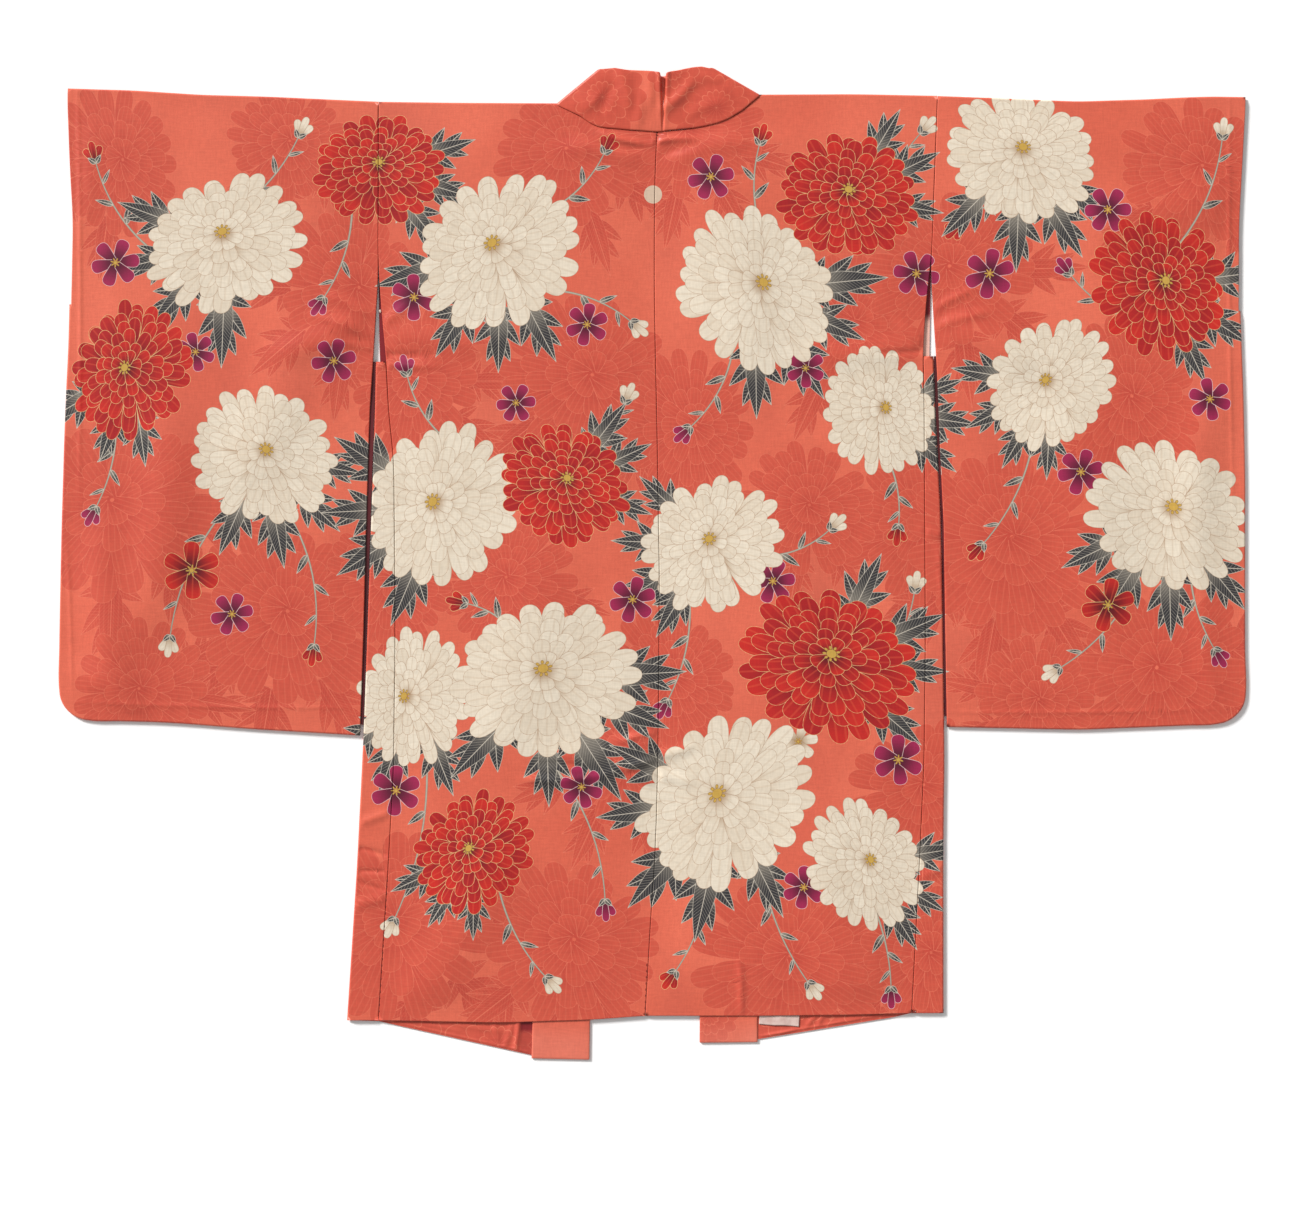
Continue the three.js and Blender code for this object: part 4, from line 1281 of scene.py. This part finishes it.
Stitching = namedtuple("Stitching", "x0 y0 x1 y1 count length thick")
CENTRE_SEAM_X = -7.6
STITCH_SUNK_MM = 0.3  # the most that a stitch lies below the flat of the back
SEAM_STITCHES = table(
    Stitching,
    (-291.1, -345, -300.7, -496, 21, 3.2, 0.34),
    (-6.4, -438, -8.6, -492, 8, 3.0, 0.3),
)
TACK = table(
    Stitching,
    (-299.7, 278.9, -299.3, 274.5, 1, 4.6, 0.55),
    (-299.0, 278.6, -298.7, 275.0, 1, 4.0, 0.55),
    (-300.6, 277.2, -298.0, 276.6, 1, 3.0, 0.5),
)


def sew(name, lines, material):
    """Each stitch is a short length of thread, pulled into the cloth at both ends."""
    thread = bmesh.new()
    for line in lines:
        start, end = np.array([line.x0, line.y0]), np.array([line.x1, line.y1])
        way = (end - start) / np.linalg.norm(end - start)
        turn = Matrix.Rotation(np.arctan2(way[1], way[0]), 4, "Z")
        for k in range(line.count):
            spot = start + (end - start) * (k + 0.5) / line.count
            side = "left" if spot[0] < CENTRE_SEAM_X else "right"
            height = walls[f"body_{side}"][0].face(spot[None])[0][0]
            height = max(height, BACK_TOP_MM - STITCH_SUNK_MM)
            made = bmesh.ops.create_icosphere(thread, subdivisions=2, radius=1)
            long, thick = line.length / 2 * rng.uniform(0.85, 1.1), line.thick
            size = Matrix.Diagonal((long, thick, thick, 1))
            where = Matrix.Translation((*spot, height + thick * 0.3))
            matrix = Matrix.Scale(MM, 4) @ where @ turn @ size
            bmesh.ops.transform(thread, matrix=matrix, verts=made["verts"])
    piece = add_piece(smooth_mesh(name, thread), material)


def wave(place, direction, scale):
    inputs = {"Vector": place, "Scale": scale}
    return place.node("TexWave", {"bands_direction": direction}, inputs, output="Fac")


def thread_material(name, shown, ply_shade_colour):
    material, shader, wire = new_material(name, 0.5, sheen=0.1)
    place = wire.node("TexCoord", output="Object")
    # Darker bands between the turns of the ply: painted shade in its grooves.
    ply = wave(place, "DIAGONAL", 900.0)
    colour_with(ply.mix(dyed(*ply_shade_colour), dyed(*shown)), shader)
    return material


red_thread = thread_material("seam_thread", (120, 30, 28), (70, 16, 18))
sew("seam_stitches", SEAM_STITCHES, red_thread)
pale_thread = thread_material("tack_thread", (230, 212, 196), (190, 160, 142))
sew("sleeve_tack", TACK, pale_thread)

# ==== Maker's tape ====
# A short woven tape inside the right front, near its hem, tacked down at both ends. It carries no
# mark.

TAPE_X, TAPE_Y, TAPE_TURN = 139.3, -501.1, -3.0
TAPE_LENGTH, TAPE_WIDTH, TAPE_THICK = 44.0, 14.0, 0.5
TAPE_BOTTOM_MM = 1.75

tape = bmesh.new()
bmesh.ops.create_grid(tape, x_segments=int(TAPE_LENGTH), y_segments=int(TAPE_WIDTH), size=0.5)
bmesh.ops.scale(tape, vec=(TAPE_LENGTH * MM, TAPE_WIDTH * MM, 1), verts=tape.verts)
for vert in tape.verts:
    along, side_way = vert.co.x / MM, vert.co.y / MM
    bow = 0.25 * cos(along * 0.16) + 0.12 * sin(along * 0.45 + side_way * 0.3)
    vert.co.z = (TAPE_BOTTOM_MM + TAPE_THICK + bow * (1 - (2 * along / TAPE_LENGTH) ** 6)) * MM
    vert.co.y += 0.25 * sin(along * 0.2) * MM
turn = Matrix.Rotation(radians(TAPE_TURN), 3, "Z")
bmesh.ops.rotate(tape, cent=(0, 0, 0), matrix=turn, verts=tape.verts)
bmesh.ops.translate(tape, vec=(TAPE_X * MM, TAPE_Y * MM, 0), verts=tape.verts)
woven, woven_shader, wire = new_material("woven_tape", 0.7, sheen=0.2)
place = wire.node("TexCoord", output="Object")
warp, weft = wave(place, "X", 480.0), wave(place, "Y", 480.0)
cloud = noise(place, 120.0, 2.0)
cloth_colour = cloud.ramp(0.3, 0.7).mix(dyed(196, 164, 154), dyed(216, 190, 180))
colour_with((warp * weft * 0.4).mix(cloth_colour, dyed(168, 134, 126)), woven_shader)
normal = wire.node("Bump", {}, {"Strength": 0.5, "Distance": 0.0001, "Height": warp + weft})
wire.tree.links.new(normal.socket, woven_shader.inputs["Normal"])
tape_piece = add_piece(smooth_mesh("makers_tape", tape), woven)
thick = tape_piece.modifiers.new("thickness", "SOLIDIFY")
thick.thickness, thick.offset = TAPE_THICK * MM, -1
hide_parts("label")

# ==== Table, camera and light ====
# A plain pale table top that the jacket lies on, a camera straight above it, and a broad soft
# light from the upper left, with a little light from all round.

TABLE_HALF, TABLE_BELOW = 6.0, 0.0002
top = bmesh.new()
bmesh.ops.create_grid(top, x_segments=1, y_segments=1, size=TABLE_HALF)
bmesh.ops.translate(top, verts=top.verts, vec=(0, 0, -TABLE_BELOW))
mesh = bpy.data.meshes.new("table_top")
top.to_mesh(mesh)
top.free()
paper, paper_shader, wire = new_material("pale_table", 0.9)
paper_shader.inputs["Base Color"].default_value = dyed(248, 247, 246)
mesh.materials.append(paper)
put_in_scene("table_top", mesh)

FRAME_WIDTH = 1.430  # the width of table that the camera takes in
FRAME_MIDDLE = (-0.0028, -0.0493)
FOCAL, SENSOR = 85.0, 36.0
LIGHT_WAY = Vector((2.4, -2.3, -1.7))
camera_data = bpy.data.cameras.new("camera")
camera_data.lens, camera_data.sensor_width = FOCAL, SENSOR
camera = put_in_scene("camera", camera_data)
camera.location = (*FRAME_MIDDLE, FRAME_WIDTH * FOCAL / SENSOR)
bpy.context.scene.camera = camera

key = bpy.data.lights.new("key_light", "SUN")
key.energy, key.angle = 5.1, 0.26
key_light = put_in_scene("key_light", key)
key_light.rotation_euler = LIGHT_WAY.to_track_quat("-Z", "Y").to_euler()
world = bpy.data.worlds.new("studio")
world.use_nodes = True
background = world.node_tree.nodes["Background"]
background.inputs["Color"].default_value = (1.0, 1.0, 1.0, 1.0)
background.inputs["Strength"].default_value = 0.45
bpy.context.scene.world = world
bpy.context.scene.view_settings.view_transform = "Standard"
